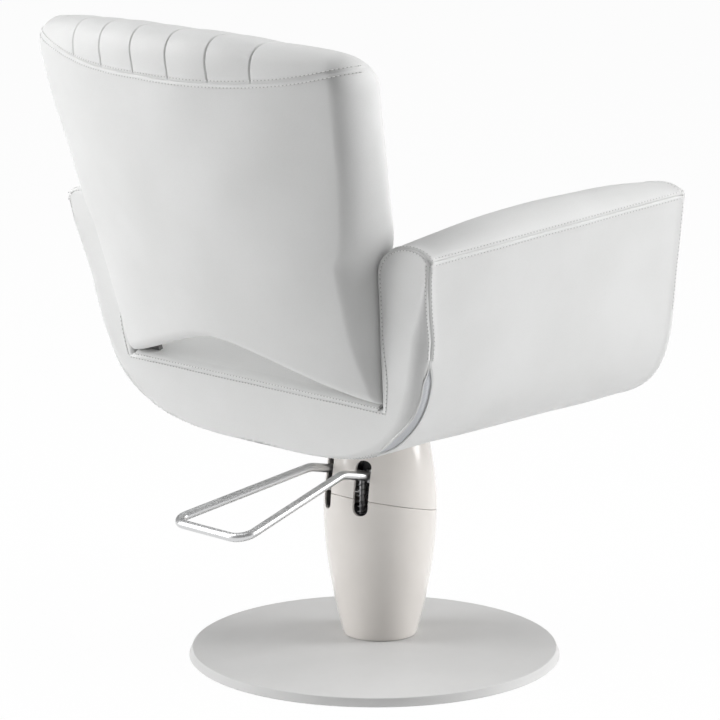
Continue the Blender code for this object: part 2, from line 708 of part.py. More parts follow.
def make_plunger():
    """The plunger under the cross bar, with its return spring on the reservoir's roof."""
    bar = cross_bar_place()
    top = bar.z - CROSS_BAR_RADIUS - PLUNGER_TOP_GAP
    cap_low = top - PLUNGER_CAP_THICK
    profile = [
        (0.0, top),
        (PLUNGER_CAP_RADIUS, top),
        (PLUNGER_CAP_RADIUS, cap_low),
        (PLUNGER_RADIUS, cap_low),
        (PLUNGER_RADIUS, top - PLUNGER_LENGTH),
        (0.0, top - PLUNGER_LENGTH),
    ]
    make_object("plunger", turned("plunger", profile, SMALL_SIDES, (0.0, bar.y)), "steel", "plunger")
    low = RESERVOIR_TOP + SPRING_WIRE_RADIUS + GAP
    high = cap_low - SPRING_WIRE_RADIUS - GAP
    steps = 10 * SPRING_TURNS
    path = []
    for k in range(steps + 1):
        angle = 2 * math.pi * SPRING_TURNS * k / steps
        across_x = SPRING_RADIUS * math.cos(angle)
        path.append((across_x, bar.y + SPRING_RADIUS * math.sin(angle), low + (high - low) * k / steps))
    pitch = (high - low) / SPRING_TURNS
    print(f"plunger_spring least gap between turns: {1000 * (pitch - 2 * SPRING_WIRE_RADIUS):.2f} mm")
    make_object("plunger_spring", rod("plunger_spring", path, SPRING_WIRE_RADIUS, 6), "steel", "pump")


def rounded_square(half, corner, steps=4):
    """The outline of a square with round corners."""
    outline = []
    for k, (sx, sy) in enumerate(((1, 1), (-1, 1), (-1, -1), (1, -1))):
        for i in range(steps + 1):
            angle = math.radians(90.0) * (k + i / steps)
            outline.append(
                (
                    sx * (half - corner) + corner * math.cos(angle),
                    sy * (half - corner) + corner * math.sin(angle),
                )
            )
    return outline


def plate_bolt_places():
    span = PLATE_BOLT_SPACING
    return [(sx * span, sy * span) for sx in (-1, 1) for sy in (-1, 1)]


def strut_bolt_places():
    front = BOARD_REAR - STRUT_FOOT_LENGTH
    steps = [front + STRUT_BOLT_NEAR + k * STRUT_BOLT_PITCH for k in range(2)]
    return [(sx * STRUT_X, y) for sx in (-1, 1) for y in steps]


def strut_outline(grow):
    """The side view of a strut: a foot under the seat board and a leaning upright behind the board."""
    low, high = STRUT_BOTTOM - grow, STRUT_TOP + grow
    lean = math.tan(STRUT_LEAN)
    reach = STRUT_THICK / math.cos(STRUT_LEAN)
    front = BOARD_REAR - STRUT_FOOT_LENGTH - grow
    rise = STRUT_TOP + STRUT_RISE + grow
    near = BOARD_REAR + 2 * GAP - grow

    def face(start, z):
        return start + lean * (z - STRUT_BOTTOM)

    far = near + reach + 2 * grow
    return [
        (front, low),
        (face(far, low), low),
        (face(far, rise), rise),
        (face(near, rise), rise),
        (face(near, high), high),
        (front, high),
    ]


def make_seat_frame():
    """Ram, its socket, mounting plate, seat board, backrest struts and all their bolts."""
    ram = rod_profile(RAM_RADIUS, RAM_BOTTOM, RAM_TOP, chamfer=0.001)
    make_object("ram", turned("ram", ram, ROUND_SIDES), "steel", "seat")
    bore = RAM_RADIUS + GAP
    socket = [
        (0.0, SOCKET_TOP),
        (SOCKET_FLANGE_RADIUS, SOCKET_TOP),
        (SOCKET_FLANGE_RADIUS, SOCKET_TOP - SOCKET_FLANGE_THICK),
        (SOCKET_RADIUS, SOCKET_TOP - SOCKET_FLANGE_THICK),
        (SOCKET_RADIUS, SOCKET_BOTTOM),
        (bore, SOCKET_BOTTOM),
        (bore, SOCKET_TOP - SOCKET_ROOF),
        (0.0, SOCKET_TOP - SOCKET_ROOF),
    ]
    make_object("ram_socket", turned("ram_socket", socket, ROUND_SIDES), "steel", "seat")
    plate_mesh = slab("mounting_plate", rounded_square(PLATE_HALF_WIDTH, PLATE_CORNER), PLATE_BOTTOM, PLATE_TOP)
    plate = make_object("mounting_plate", plate_mesh, "steel", "seat")
    half = BOARD_HALF_WIDTH
    board_outline = [(-half, -BOARD_FRONT), (half, -BOARD_FRONT), (half, BOARD_REAR), (-half, BOARD_REAR)]
    board = make_object("seat_board", slab("seat_board", board_outline, BOARD_BOTTOM, BOARD_TOP), "plywood", "seat")
    struts = {}
    for side, label in ((-1, "right"), (1, "left")):
        span = mirrored_span(side, STRUT_X - STRUT_WIDTH / 2, STRUT_X + STRUT_WIDTH / 2)
        mesh = slab("back_strut", strut_outline(0.0), *span, along="X")
        struts[side] = make_object(f"back_strut_{label}", mesh, "steel", "seat")
    for number, place in enumerate(plate_bolt_places(), 1):
        make_object(f"plate_bolt_{number}", plate_bolt(place), "steel", "seat")
        for target in (plate, board):
            cut(target, [plate_bolt_hole(place)])
    sizes = (BOLT_RADIUS, STRUT_BOLT_HEAD_RADIUS, STRUT_BOLT_HEAD_HEIGHT)
    tip = STRUT_BOTTOM + STRUT_BOLT_SHY
    for number, place in enumerate(strut_bolt_places(), 1):
        screw = countersunk_profile(0.0, BOARD_TOP - GAP, tip, *sizes)
        make_object(f"strut_bolt_{number}", turned("strut_bolt", screw, SMALL_SIDES, place), "steel", "seat")
        hole = countersunk_profile(GAP, BOARD_TOP + GAP, tip - GAP, *sizes)
        for target in (struts[math.copysign(1, place[0])], board):
            cut(target, [turned("strut_bolt_hole", hole, SMALL_SIDES, place)])


def plate_bolt(place):
    """A long bolt from under the mounting plate, through the tub's base, into the seat board."""
    head_top = PLATE_BOTTOM - GAP
    profile = [
        (0.0, BOARD_BOTTOM + BOLT_BITE),
        (BOLT_RADIUS, BOARD_BOTTOM + BOLT_BITE),
        (BOLT_RADIUS, head_top),
        (BOLT_HEAD_RADIUS, head_top),
        (BOLT_HEAD_RADIUS, head_top - BOLT_HEAD_HEIGHT),
        (0.0, head_top - BOLT_HEAD_HEIGHT),
    ]
    return turned("plate_bolt", profile, SMALL_SIDES, place)


def plate_bolt_hole(place):
    low = PLATE_BOTTOM - BOLT_HEAD_HEIGHT
    high = BOARD_BOTTOM + BOLT_BITE + GAP
    return turned("bolt_hole", rod_profile(BOLT_RADIUS + GAP, low, high), SMALL_SIDES, place)


def tub_front(z):
    """The front plane of the tub, which leans back a little."""
    return TUB_FRONT + TUB_FRONT_LEAN * (z - FLOOR_Z)


def tub_rear(z):
    """The leaning rear plane of the tub."""
    return TUB_REAR + TUB_REAR_LEAN * (z - FLOOR_Z)


def side_curve(z):
    """The tub's outer half width: a superellipse belly that runs out into flared sides."""
    depth = min(1.0, max(0.0, (BELLY_Z + BELLY_CURVE_HEIGHT - z) / BELLY_CURVE_HEIGHT))
    belly = BELLY_HALF_WIDTH * (1.0 - depth**BELLY_ROUNDNESS) ** (1.0 / BELLY_ROUNDNESS)
    return belly + SIDE_FLARE * (z - BELLY_Z) / SIDE_HEIGHT


def belly_heights():
    """Heights up the belly's curve, closer together where it runs flat."""
    power = 2.0 / BELLY_ROUNDNESS
    turns = [0.5 * math.pi * (k / BELLY_STEPS) for k in range(1, BELLY_STEPS + 1)]
    return [BELLY_Z + BELLY_CURVE_HEIGHT * (1.0 - math.cos(t) ** power) for t in turns]


def arm_seam(y):
    """Height of the arm's outer top seam, which climbs to the front."""
    return BELLY_Z + ARM_SEAM_HEIGHT + ARM_SEAM_SLOPE * y


def arm_crown(y):
    """Height of the arm's crown, an arch along the arm that dips a little more at its rear end."""
    fall = ARM_CROWN_SAG * ((y - ARM_CROWN_Y) / (TUB_REAR - ARM_CROWN_Y)) ** 2
    return BELLY_Z + ARM_CROWN_HEIGHT - fall - ARM_CROWN_DIP * max(0.0, y / TUB_REAR) ** 3


def inner_face(z):
    """The inner face of an arm, opening slightly upwards."""
    return FLOOR_HALF_WIDTH + INNER_FLARE * (z - FLOOR_Z) / (BELLY_Z + ARM_SEAM_HEIGHT - FLOOR_Z)


def tub_half_section(y, inset):
    """The right half of the tub's section: belly, side, arm crown, inner face and floor, drawn in by inset."""
    seam, crown = arm_seam(y), arm_crown(y)
    step = 0.0005
    belly_inset = inset * TUB_BELLY_EDGE_SHARE
    points = [(0.0, BELLY_Z + belly_inset)]
    for z in belly_heights() + [0.5 * (seam + BELLY_Z + BELLY_CURVE_HEIGHT)]:
        slope = (side_curve(z + step) - side_curve(z - step)) / (2 * step)
        length = math.hypot(1.0, slope)
        move = belly_inset + (inset - belly_inset) * ease(BELLY_Z, BELLY_Z + BELLY_CURVE_HEIGHT, z)
        move *= 1.0 - (1.0 - TUB_SEAM_EDGE_SHARE) * ease(BELLY_Z + BELLY_CURVE_HEIGHT, seam, z)
        points.append((side_curve(z) - move / length, z + move * slope / length))
    ridge = side_curve(seam) - ARM_CROWN_INSET
    drop = inset * TUB_CROWN_EDGE_SHARE
    for k in range(5):
        turn = 0.5 * math.pi * k / 4
        x = ridge + (ARM_CROWN_INSET - inset * TUB_SEAM_EDGE_SHARE) * math.cos(turn)
        points.append((x, seam + (crown - seam) * math.sin(turn) - drop))
    spring = crown - ARM_INNER_ROUND
    shy = inset * TUB_INNER_EDGE_SHARE
    face = inner_face(spring) + shy
    for k in range(1, 5):
        turn = 0.5 * math.pi * k / 4
        x = ridge - (ridge - face) * math.sin(turn)
        points.append((x, spring + (ARM_INNER_ROUND - drop) * math.cos(turn)))
    middle = 0.5 * (spring + FLOOR_Z)
    points.append((inner_face(middle) + shy, middle))
    points.append((FLOOR_HALF_WIDTH + shy, FLOOR_Z - shy))
    return points


def tub_ring(along, inset, setback):
    """A closed loop of the tub's section at a share of its length, inset and set back from its end."""
    guide_y = TUB_FRONT + (tub_rear(FLOOR_Z) - TUB_FRONT) * along
    half = tub_half_section(guide_y, inset)
    loop = []
    for x, z in half + [(-x, z) for x, z in reversed(half[1:])]:
        y = tub_front(z) + (tub_rear(z) - tub_front(z)) * along
        loop.append((x, y + setback, z))
    return loop


def edge_rounding(radius):
    """Insets and setbacks of the loops round a quarter circle, from the skin to the end face."""
    turns = [0.5 * math.pi * k / 3 for k in range(4)]
    return [(radius * (1.0 - math.cos(turn)), radius * (1.0 - math.sin(turn))) for turn in turns]


def tub_mesh(name):
    """The tub lofted along Y, its two ends rounded by inset loops."""
    loops = [tub_ring(0.0, inset, setback) for inset, setback in reversed(edge_rounding(TUB_FRONT_ROUND))]
    loops += [tub_ring(k / 6, 0.0, 0.0) for k in range(1, 6)]
    loops += [tub_ring(1.0, inset, -setback) for inset, setback in edge_rounding(TUB_REAR_ROUND)]
    return lofted(name, loops)


def strut_cutters():
    """Slots for the struts' uprights, a gap wider all round."""
    meshes = []
    for side in (-1, 1):
        half = STRUT_WIDTH / 2 + GAP
        span = mirrored_span(side, STRUT_X - half, STRUT_X + half)
        meshes.append(slab("strut_slot", strut_outline(GAP), *span, along="X"))
    return meshes


def make_tub():
    """The upholstered tub with the recess for its seat board, and the two zips of its cover."""
    tub = make_object("tub", tub_mesh("tub"), "leatherette", "seat")
    half = BOARD_HALF_WIDTH + BOARD_ROOM
    rear = BOARD_REAR + BOARD_ROOM
    front = -BOARD_FRONT - BOARD_ROOM
    recess = [(-half, front), (half, front), (half, rear), (-half, rear)]
    well = rounded_square(PLATE_HALF_WIDTH + BOARD_ROOM, PLATE_CORNER)
    cutters = [
        slab("board_recess", recess, BOARD_BOTTOM - GAP, BOARD_TOP + BOARD_THICK),
        slab("plate_well", well, BELLY_Z - PLATE_RISE, PLATE_TOP + GAP),
    ]
    cutters += [plate_bolt_hole(place) for place in plate_bolt_places()]
    cut(tub, cutters + strut_cutters())
    for side, label in ((-1, "right"), (1, "left")):
        make_object(f"zip_{label}", zip_mesh(side), "zip_grey", "seat")


def zip_mesh(side):
    """A flat tape along the belly's curve, just outside the start of the rear edge's rounding."""
    rings = []
    for z in belly_heights()[ZIP_FIRST_STEP - 1 :]:
        step = 0.0005
        slope = (side_curve(z + step) - side_curve(z - step)) / (2 * step)
        normal = Vector((1.0, 0.0, -slope)).normalized()
        base = Vector((side_curve(z), 0.0, z))
        y = tub_rear(z) - TUB_REAR_ROUND
        loop = []
        for out, back in ((0, 0), (0, 1), (1, 1), (1, 0)):
            point = base + normal * (GAP + out * ZIP_THICK)
            loop.append((side * point.x, y - back * ZIP_WIDTH, point.z))
        rings.append(loop)
    return lofted("zip", rings)


def cushion_height(y):
    """The cushion's middle height over the tub's floor along its length: a quick climb, then a long crown."""
    rear, front = TUB_REAR - CUSHION_REAR_SET, TUB_FRONT - CUSHION_FRONT_OVERHANG
    part = (rear - y) / (rear - front)
    climb = 1.0 - (1.0 - min(1.0, part / 0.45)) ** 2.2
    nose = max(0.0, (part - 0.86) / 0.14)
    body_height = CUSHION_REAR_EDGE + (CUSHION_CROWN - CUSHION_REAR_EDGE) * climb
    return body_height * math.sqrt(max(0.0, 1.0 - 0.72 * nose**2))


def cushion_loop(y):
    """A section of the cushion: flat below, drawn in at the sides and crowned on top."""
    half = FLOOR_HALF_WIDTH - CUSHION_SIDE_GAP
    crown = cushion_height(y)
    edge = min(CUSHION_EDGE, 0.75 * crown)
    low = FLOOR_Z + GAP
    loop = [(-half + 0.004, y, low), (half - 0.004, y, low), (half, y, low + 0.5 * edge)]
    count = 10
    for k in range(count + 1):
        across_part = 1.0 - 2.0 * k / count
        x = half * across_part * (1.0 - 0.012 * abs(across_part))
        lift = edge + (crown - edge) * (1.0 - abs(across_part) ** 2.6)
        loop.append((x, y, low + lift))
    loop.append((-half, y, low + 0.5 * edge))
    return loop


def make_cushion():
    """The seat cushion on the tub's floor, notched for the struts."""
    rear, front = TUB_REAR - CUSHION_REAR_SET, TUB_FRONT - CUSHION_FRONT_OVERHANG
    shares = (0.0, 0.05, 0.11, 0.18, 0.27, 0.38, 0.52, 0.68, 0.80, 0.88, 0.94, 0.98, 1.0)
    loops = [cushion_loop(rear + (front - rear) * share) for share in shares]
    cushion = make_object("seat_cushion", lofted("seat_cushion", loops), "leatherette", "seat")
    cut(cushion, strut_cutters())


def back_rear(x, z):
    """The backrest's rear surface: a lean that eases upwards, wrapped forwards towards its sides."""
    rise = z - BACK_FOOT
    level = rise / BACK_HEIGHT
    middle = BACK_REAR_Y + BACK_LEAN_START * rise - BACK_LEAN_SAG * level**2
    wrap = BACK_LOW_WRAP + (BACK_HIGH_WRAP - BACK_LOW_WRAP) * ease(0.40, 0.95, level)
    part = x / BACK_TOP_HALF_WIDTH
    return middle - BACK_PLAN_SAG * part**2 - wrap * part**4


def ease(low, high, value):
    """A smooth step from 0 at low to 1 at high."""
    part = min(1.0, max(0.0, (value - low) / (high - low)))
    return part * part * (3.0 - 2.0 * part)


def back_half_width(z):
    """The backrest's half width: close to the arms' faces below, opening above them."""
    foot = FLOOR_HALF_WIDTH - BACK_SIDE_GAP
    waist = BACK_FOOT + BACK_WAIST_RISE
    if z < waist:
        return foot + BACK_WAIST_FLARE * max(0.0, z - BACK_FOOT) / BACK_WAIST_RISE
    part = (z - waist) / (BACK_TOP - waist)
    return foot + BACK_WAIST_FLARE + (BACK_TOP_HALF_WIDTH - foot - BACK_WAIST_FLARE) * part**BACK_FLARE_POWER


def back_thickness(z):
    return BACK_FOOT_THICK + (BACK_TOP_THICK - BACK_FOOT_THICK) * ease(0.25, 1.0, (z - BACK_FOOT) / BACK_HEIGHT)


def back_arch(x):
    """The arched lower edge, highest in the middle."""
    part = min(1.0, abs(x) / BACK_ARCH_HALF_WIDTH)
    return BACK_ARCH_RISE * (1.0 - part**2.2)


def channel_fall(x):
    """How far the surface falls towards the channel seams: 1 on a seam, 0 between seams."""
    reach = CHANNEL_PITCH * CHANNEL_COUNT / 2
    if abs(x) > reach:
        return 0.0
    return abs(math.sin(math.pi * x / CHANNEL_PITCH)) ** 3


def back_columns():
    """Columns across the backrest: two to a channel in the middle, then out to the rounded sides."""
    steps = CHANNEL_COUNT + 1
    middle = [CHANNEL_PITCH * 0.5 * k for k in range(-steps + 1, steps)]
    return middle, (0.45, 0.70, 0.88, 0.97, 1.0)


def side_rounding(x, half, radius):
    """The share of full depth near the backrest's side: a superellipse quarter over a radius."""
    part = min(1.0, max(0.0, abs(x) - half + radius) / radius)
    return (1.0 - part**BACK_SIDE_SQUARENESS) ** (1.0 / BACK_SIDE_SQUARENESS)


def back_loop(level, thick_share, narrow):
    """A loop round the backrest: (level) share of its height, thinned and narrowed for round ends.

    The thickness is split at a ridge surface: the middle at the foot, nearer to the front at the top.
    """
    ridge_share = 0.5 + (BACK_RIDGE_SHARE - 0.5) * ease(0.5, 0.9, level)
    middle, outer = back_columns()
    inner_edge = middle[-1]
    columns = [("at", x) for x in middle]
    left = [("out", -share) for share in reversed(outer)]
    right = [("out", share) for share in outer]
    front, rear = [], []
    for kind, value in left + columns + right:
        guess = BACK_FOOT + BACK_HEIGHT * level
        half = back_half_width(guess) - narrow
        x = value if kind == "at" else math.copysign(inner_edge + (half - inner_edge) * abs(value), value)
        droop = BACK_TOP_DROOP * (x / (CHANNEL_PITCH * CHANNEL_COUNT / 2)) ** 2
        z = BACK_FOOT + back_arch(x) * (1.0 - level) + (BACK_HEIGHT - droop * level) * level
        taper = ease(0.0, BACK_FOOT_TAPER_RISE, z - BACK_FOOT - back_arch(x))
        full = back_thickness(z) * (BACK_FOOT_TAPER_SHARE + (1.0 - BACK_FOOT_TAPER_SHARE) * taper)
        ridge = back_rear(x, z) - ridge_share * full
        fall = CHANNEL_DEPTH * channel_fall(x)
        rear_fall = fall * ease(0.0, 0.012, z - (BACK_TOP - CHANNEL_REAR_DROP))
        ahead = ((1.0 - ridge_share) * full - fall) * thick_share * side_rounding(x, half, BACK_FRONT_ROUND)
        behind = (ridge_share * full - rear_fall) * thick_share * side_rounding(x, half, BACK_REAR_ROUND)
        front.append((x, ridge - ahead, z))
        rear.append((x, ridge + behind, z))
    return front + rear[-2:0:-1]


def back_mesh(name):
    """The backrest lofted upwards, with round lower and upper edges closed by strips."""
    loops = []
    for k in range(4):
        turn = 0.5 * math.pi * (0.12 + 0.88 * k / 3)
        setback = BACK_FOOT_ROUND * (1.0 - math.sin(turn))
        thin = math.sqrt(1.0 - (setback / BACK_FOOT_ROUND) ** 2)
        loops.append((BACK_FOOT_ROUND - BACK_FOOT_ROUND * math.sin(turn), 0.45 + 0.55 * math.sin(turn) * thin, 0.0))
    made = [back_loop(0.0 + (BACK_FOOT_ROUND - low) / BACK_HEIGHT, share, narrow) for low, share, narrow in loops]
    first = BACK_FOOT_ROUND / BACK_HEIGHT
    last = 1.0 - BACK_ROLL_HEIGHT / BACK_HEIGHT
    made += [back_loop(first + (last - first) * k / 6, 1.0, 0.0) for k in range(1, 6)]
    for lift in (0.0, 0.30, 0.55, 0.76, 0.91, 0.985):
        share = (1.0 - lift**BACK_ROLL_SQUARENESS) ** (1.0 / BACK_ROLL_SQUARENESS)
        narrow = BACK_CORNER_RADIUS * (1.0 - math.sqrt(1.0 - lift**2))
        made.append(back_loop(last + (1.0 - last) * lift, share, narrow))
    return lofted(name, made, strip_caps=True)


def make_back():
    """The backrest pad with its pockets for the struts."""
    pad = make_object("back_pad", back_mesh("back_pad"), "leatherette", "seat")
    cut(pad, strut_cutters())


def main():
    empty_the_scene()
    body("base")
    body("pump")
    body("lever", (0.0, 0.0, PIVOT_Z))
    body("plunger", (0.0, cross_bar_place().y, 0.0))
    body("seat")
    make_base()
    make_pump_body()
    make_covers()
    make_lever()
    make_plunger()
    make_seat_frame()
    make_tub()
    make_cushion()
    make_back()


main()
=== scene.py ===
"""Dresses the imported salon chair: stitched leatherette, zips, gloss covers, chrome lever and coated disc."""

import math

import bmesh
import bpy
import numpy as np
from mathutils import Matrix, Vector


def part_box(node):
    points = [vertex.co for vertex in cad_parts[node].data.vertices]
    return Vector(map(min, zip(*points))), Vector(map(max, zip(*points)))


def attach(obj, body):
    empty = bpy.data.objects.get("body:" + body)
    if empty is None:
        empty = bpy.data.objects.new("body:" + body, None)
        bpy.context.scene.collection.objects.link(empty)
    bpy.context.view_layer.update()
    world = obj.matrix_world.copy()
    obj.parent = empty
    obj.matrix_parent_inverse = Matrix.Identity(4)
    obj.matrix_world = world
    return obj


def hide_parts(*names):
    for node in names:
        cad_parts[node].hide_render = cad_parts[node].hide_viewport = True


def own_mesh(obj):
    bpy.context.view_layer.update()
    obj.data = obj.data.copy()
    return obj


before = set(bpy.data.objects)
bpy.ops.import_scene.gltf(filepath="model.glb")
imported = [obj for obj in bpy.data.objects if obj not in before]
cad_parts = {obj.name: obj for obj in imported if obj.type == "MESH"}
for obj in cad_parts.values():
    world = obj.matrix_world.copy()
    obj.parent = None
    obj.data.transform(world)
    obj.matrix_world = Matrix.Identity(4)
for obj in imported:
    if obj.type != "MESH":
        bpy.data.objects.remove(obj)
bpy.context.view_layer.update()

# Sizes in metres: those of the solids, refined on the covers

DISC_TOP, DISC_RADIUS, DISC_TAPER, DISC_LOW, DISC_EDGE = 0.0128, 0.250, 0.004, 0.0013, 0.0016
DISC_X, DISC_Y = -0.038, 0.049

COVER_FOOT, COVER_WAIST, COVER_TOP = 0.0134, 0.1908, 0.2983
COVER_FOOT_RADIUS, COVER_WAIST_RADIUS, COVER_TOP_RADIUS = 0.050, 0.077, 0.063
COVER_BULGE, COVER_WALL, COVER_MOUTH, COVER_LIP = 1.8, 0.003, 0.041, 0.0007
SPLIT_Z, SPLIT_SLOPE, SPLIT_GAP = 0.1988, 0.24, 0.0003
SLOT_X, SLOT_HALF, SLOT_LOW, SLOT_HIGH = 0.0308, 0.010, 0.1935, 0.2690

PIVOT_Z = 0.2340
ROD_RADIUS, STUB_TILT = 0.006, math.radians(12.3)
SPRING_RADIUS, SPRING_WIRE, SPRING_TURNS, SPRING_STROKE = 0.0066, 0.0009, 6, 0.0215
STUB_START, STUB_END, FAR_REACH, FAR_DROP, FAR_SPREAD = 0.0403, 0.105, 0.3195, 0.0195, 0.0680
BEND_RADIUS, CORNER_RADIUS = 0.034, 0.020

BELLY_Z, FLOOR_Z = 0.3188, 0.4018
BELLY_HALF, BELLY_RISE, BELLY_ROUND, BELLY_TILT = 0.2788, 0.1801, 3.759, 0.0221
SIDE_FLARE, SIDE_HEIGHT = 0.0629, 0.293
FRONT_Y, FRONT_LEAN, REAR_Y, REAR_LEAN = -0.2507, 0.1334, 0.2359, 0.101
ARM_SEAM, ARM_SEAM_SLOPE = 0.3010, -0.061
ARM_CROWN, ARM_CROWN_Y, ARM_CROWN_SAG, ARM_CROWN_DIP = 0.3335, -0.1285, 0.0317, 0.001
CROWN_INSET, INNER_ROUND = 0.0341, 0.044
FLOOR_HALF, INNER_FLARE = 0.236, 0.010
REAR_ROUND_HIGH, REAR_ROUND_LOW, INNER_EDGE_ROUND = 0.004, 0.0214, 0.008
FRONT_ROUND, FRONT_ROUND_CROWN = 0.0045, 0.0061
CROWN_SHARE, BELLY_SHARE, INNER_SHARE = 0.5, 0.1000, 0.8
PANEL_DOME, PANEL_WIDE, PANEL_ROW_RUN = 0.002, 0.05, 0.0122
HOLLOW_SHARE, HOLLOW_Z, HOLLOW_HEIGHT = 0.5, 0.445, 0.035

BACK_FOOT, BACK_HEIGHT = 0.4078, 0.4728
BACK_Y, BACK_LEAN, BACK_LEAN_SAG = 0.2868, 0.3792, 0.0435
BACK_PLAN_SAG, BACK_LOW_WRAP = 0.0590, 0.0140
BACK_FOOT_THICK, BACK_TOP_THICK, BACK_RIDGE_SHARE = 0.088, 0.1075, 0.3792
BACK_FOOT_HALF, BACK_TOP_HALF = 0.2354, 0.2918
BACK_WAIST, BACK_WAIST_FLARE, BACK_FLARE_POWER, BACK_FLARE_START = 0.190, 0.0092, 0.4096, 0.01
BACK_FOOT_ROUND, BACK_FOOT_TAPER = 0.014, 0.070
BACK_ROLL, BACK_ROLL_POWER, BACK_CORNER, BACK_DROOP = 0.0485, 2.238, 0.0303, 0.0091
BACK_REAR_ROUND, BACK_FRONT_ROUND, BACK_SIDE_POWER = 0.0220, 0.0787, 2.225
ARCH_RISE, ARCH_HALF, ARCH_LOW, FOOT_SPLIT = 0.0610, 0.2354, 0.0013, 0.2000
ARCH_POWER, ARCH_RUNOUT = 1.53, 1.38
BACK_SEAM_LOW, BACK_SEAM_RISE, BACK_SEAM_HALF, BACK_SEAM_POWER = 0.817, 0.033, 0.290, 2.75
BACK_ROW_REACH = 0.2848
CHANNEL, CHANNEL_REACH = 0.066, 0.198
CHANNEL_DIP, CREASE_DEPTH, CREASE_WIDTH = 0.0007, 0.0019, 0.0011

CUSHION_REAR, CUSHION_FRONT, CUSHION_SEAM_Z, CUSHION_SHOULDER = 0.2362, -0.263, 0.3985, 0.0115
CUSHION_CROWN, CUSHION_EDGE, CUSHION_SIDE_GAP = 0.047, 0.018, 0.0022

SEAM_DEPTH, SEAM_WIDTH, SEAM_SWELL = 0.0015, 0.0012, 0.0006
SWELL_PLACE, SWELL_WIDTH = 0.006, 0.004
ROW_OFFSET, ROW_LIFT = 0.0043, 0.0005
STITCH_PITCH, STITCH_LENGTH, STITCH_RADIUS = 0.0056, 0.0040, 0.00070
# The needle holes are discs of painted shade: grey where the real holes hold shadow.
HOLE_RADIUS, HOLE_SINK, HOLE_PROUD = 0.0008, 0.0004, 0.0002
TUB_WAVE, BACK_WAVE = (0.4, 0.16, 0.0005), (2.1, 0.19, 0.0006)
MIRROR = np.array([-1.0, 1.0, 1.0])


# Shader writing

class Socket:
    """A shader socket that takes part in Python arithmetic: each operation on it adds its Math node."""

    def __init__(self, finish, link):
        self.finish, self.link = finish, link

    def math(self, operation, first, second=0.0):
        return self.finish.node("ShaderNodeMath", {"operation": operation}, {0: first, 1: second})

    def __add__(self, other):
        return self.math("ADD", self, other)

    __radd__ = __add__

    def __sub__(self, other):
        return self.math("SUBTRACT", self, other)

    def __rsub__(self, other):
        return self.math("SUBTRACT", other, self)

    def __mul__(self, other):
        return self.math("MULTIPLY", self, other)

    __rmul__ = __mul__

    def step(self, low, high):
        """A smooth climb from 0 at low to 1 at high."""
        return self.finish.node("ShaderNodeMapRange", {"interpolation_type": "SMOOTHSTEP"},
                                {0: self, 1: low, 2: high, 3: 0.0, 4: 1.0})


class Finish:
    """A material in the making: one Principled shader, and node() for every other node."""

    def __init__(self, name, constants):
        self.material = bpy.data.materials.new(name)
        self.material.use_nodes = True
        self.tree = self.material.node_tree
        self.shader = self.tree.nodes["Principled BSDF"]
        for socket, value in constants.items():
            self.shader.inputs[socket].default_value = value

    def feed(self, socket, value):
        if isinstance(value, Socket):
            self.tree.links.new(value.link, socket)
        else:
            socket.default_value = value

    def node(self, kind, settings=None, sockets=None, output=0):
        """A node of a type, with its settings made first and then its sockets' values or links."""
        made = self.tree.nodes.new(kind)
        for name, value in (settings or {}).items():
            setattr(made, name, value)
        for name, value in (sockets or {}).items():
            self.feed(made.inputs[name], value)
        return Socket(self, made.outputs[output])

    def place(self):
        return self.node("ShaderNodeTexCoord", output="Object")

    def noise(self, scale, detail=2.0, rough=0.5):
        return self.node("ShaderNodeTexNoise", None,
                         {"Vector": self.place(), "Scale": scale, "Detail": detail, "Roughness": rough})

    def tint(self, factor, dark, light):
        """A colour between two, by a factor over the surface."""
        colours = {0: factor, 6: (*dark, 1), 7: (*light, 1)}
        return self.node("ShaderNodeMix", {"data_type": "RGBA"}, colours, output=2)

    def bump(self, height, strength, distance):
        normal = self.node("ShaderNodeBump", None,
                           {"Strength": strength, "Distance": distance, "Height": height})
        self.feed(self.shader.inputs["Normal"], normal)

    def paint(self, colour, rough):
        self.feed(self.shader.inputs["Base Color"], colour)
        self.feed(self.shader.inputs["Roughness"], rough)
        return self.material


def leatherette_finish():
    """White coated fabric: cells about 1.3 mm across with finer pores, and a slow drift of tone and gloss."""
    skin = Finish("leatherette_white",
                  {"Specular IOR Level": 0.42, "Sheen Weight": 0.06, "Sheen Roughness": 0.5})
    cells = skin.node("ShaderNodeTexVoronoi", {"feature": "DISTANCE_TO_EDGE"},
                      {"Vector": skin.place(), "Scale": 760.0, "Randomness": 1.0})
    pores = skin.noise(2600.0, 1.0)
    cloud = skin.noise(9.0, 3.0)
    pebble = cells.step(0.0, 0.22)
    skin.bump(pebble * 0.75 + pores * 0.35, 0.32, 0.00035)
    tone = cloud.step(0.25, 0.75) * 0.6 + pebble * 0.4
    colour = skin.tint(tone, (0.690, 0.693, 0.686), (0.750, 0.753, 0.750))
    return skin.paint(colour, 0.52 - 0.07 * pebble + 0.08 * cloud)


def thread_finish():
    """White sewing thread: fine twist lines as bump, a little duller than the skin."""
    thread = Finish("thread_white", {"Specular IOR Level": 0.3, "Sheen Weight": 0.2})
    twist = thread.noise(3200.0, 2.0)
    thread.bump(twist, 0.4, 0.0001)
    return thread.paint(thread.tint(twist, (0.80, 0.80, 0.795), (0.90, 0.90, 0.895)), 0.62 + 0.2 * twist)


def painted_hole_shade_finish():
    """Painted shade: a grey disc for the shadow in the needle hole after each stitch."""
    hole = Finish("needle_hole_painted_shade", {"Specular IOR Level": 0.1})
    shade = hole.noise(1500.0, 1.0)
    return hole.paint(hole.tint(shade, (0.46, 0.46, 0.455), (0.56, 0.56, 0.555)), 0.8 + 0.1 * shade)


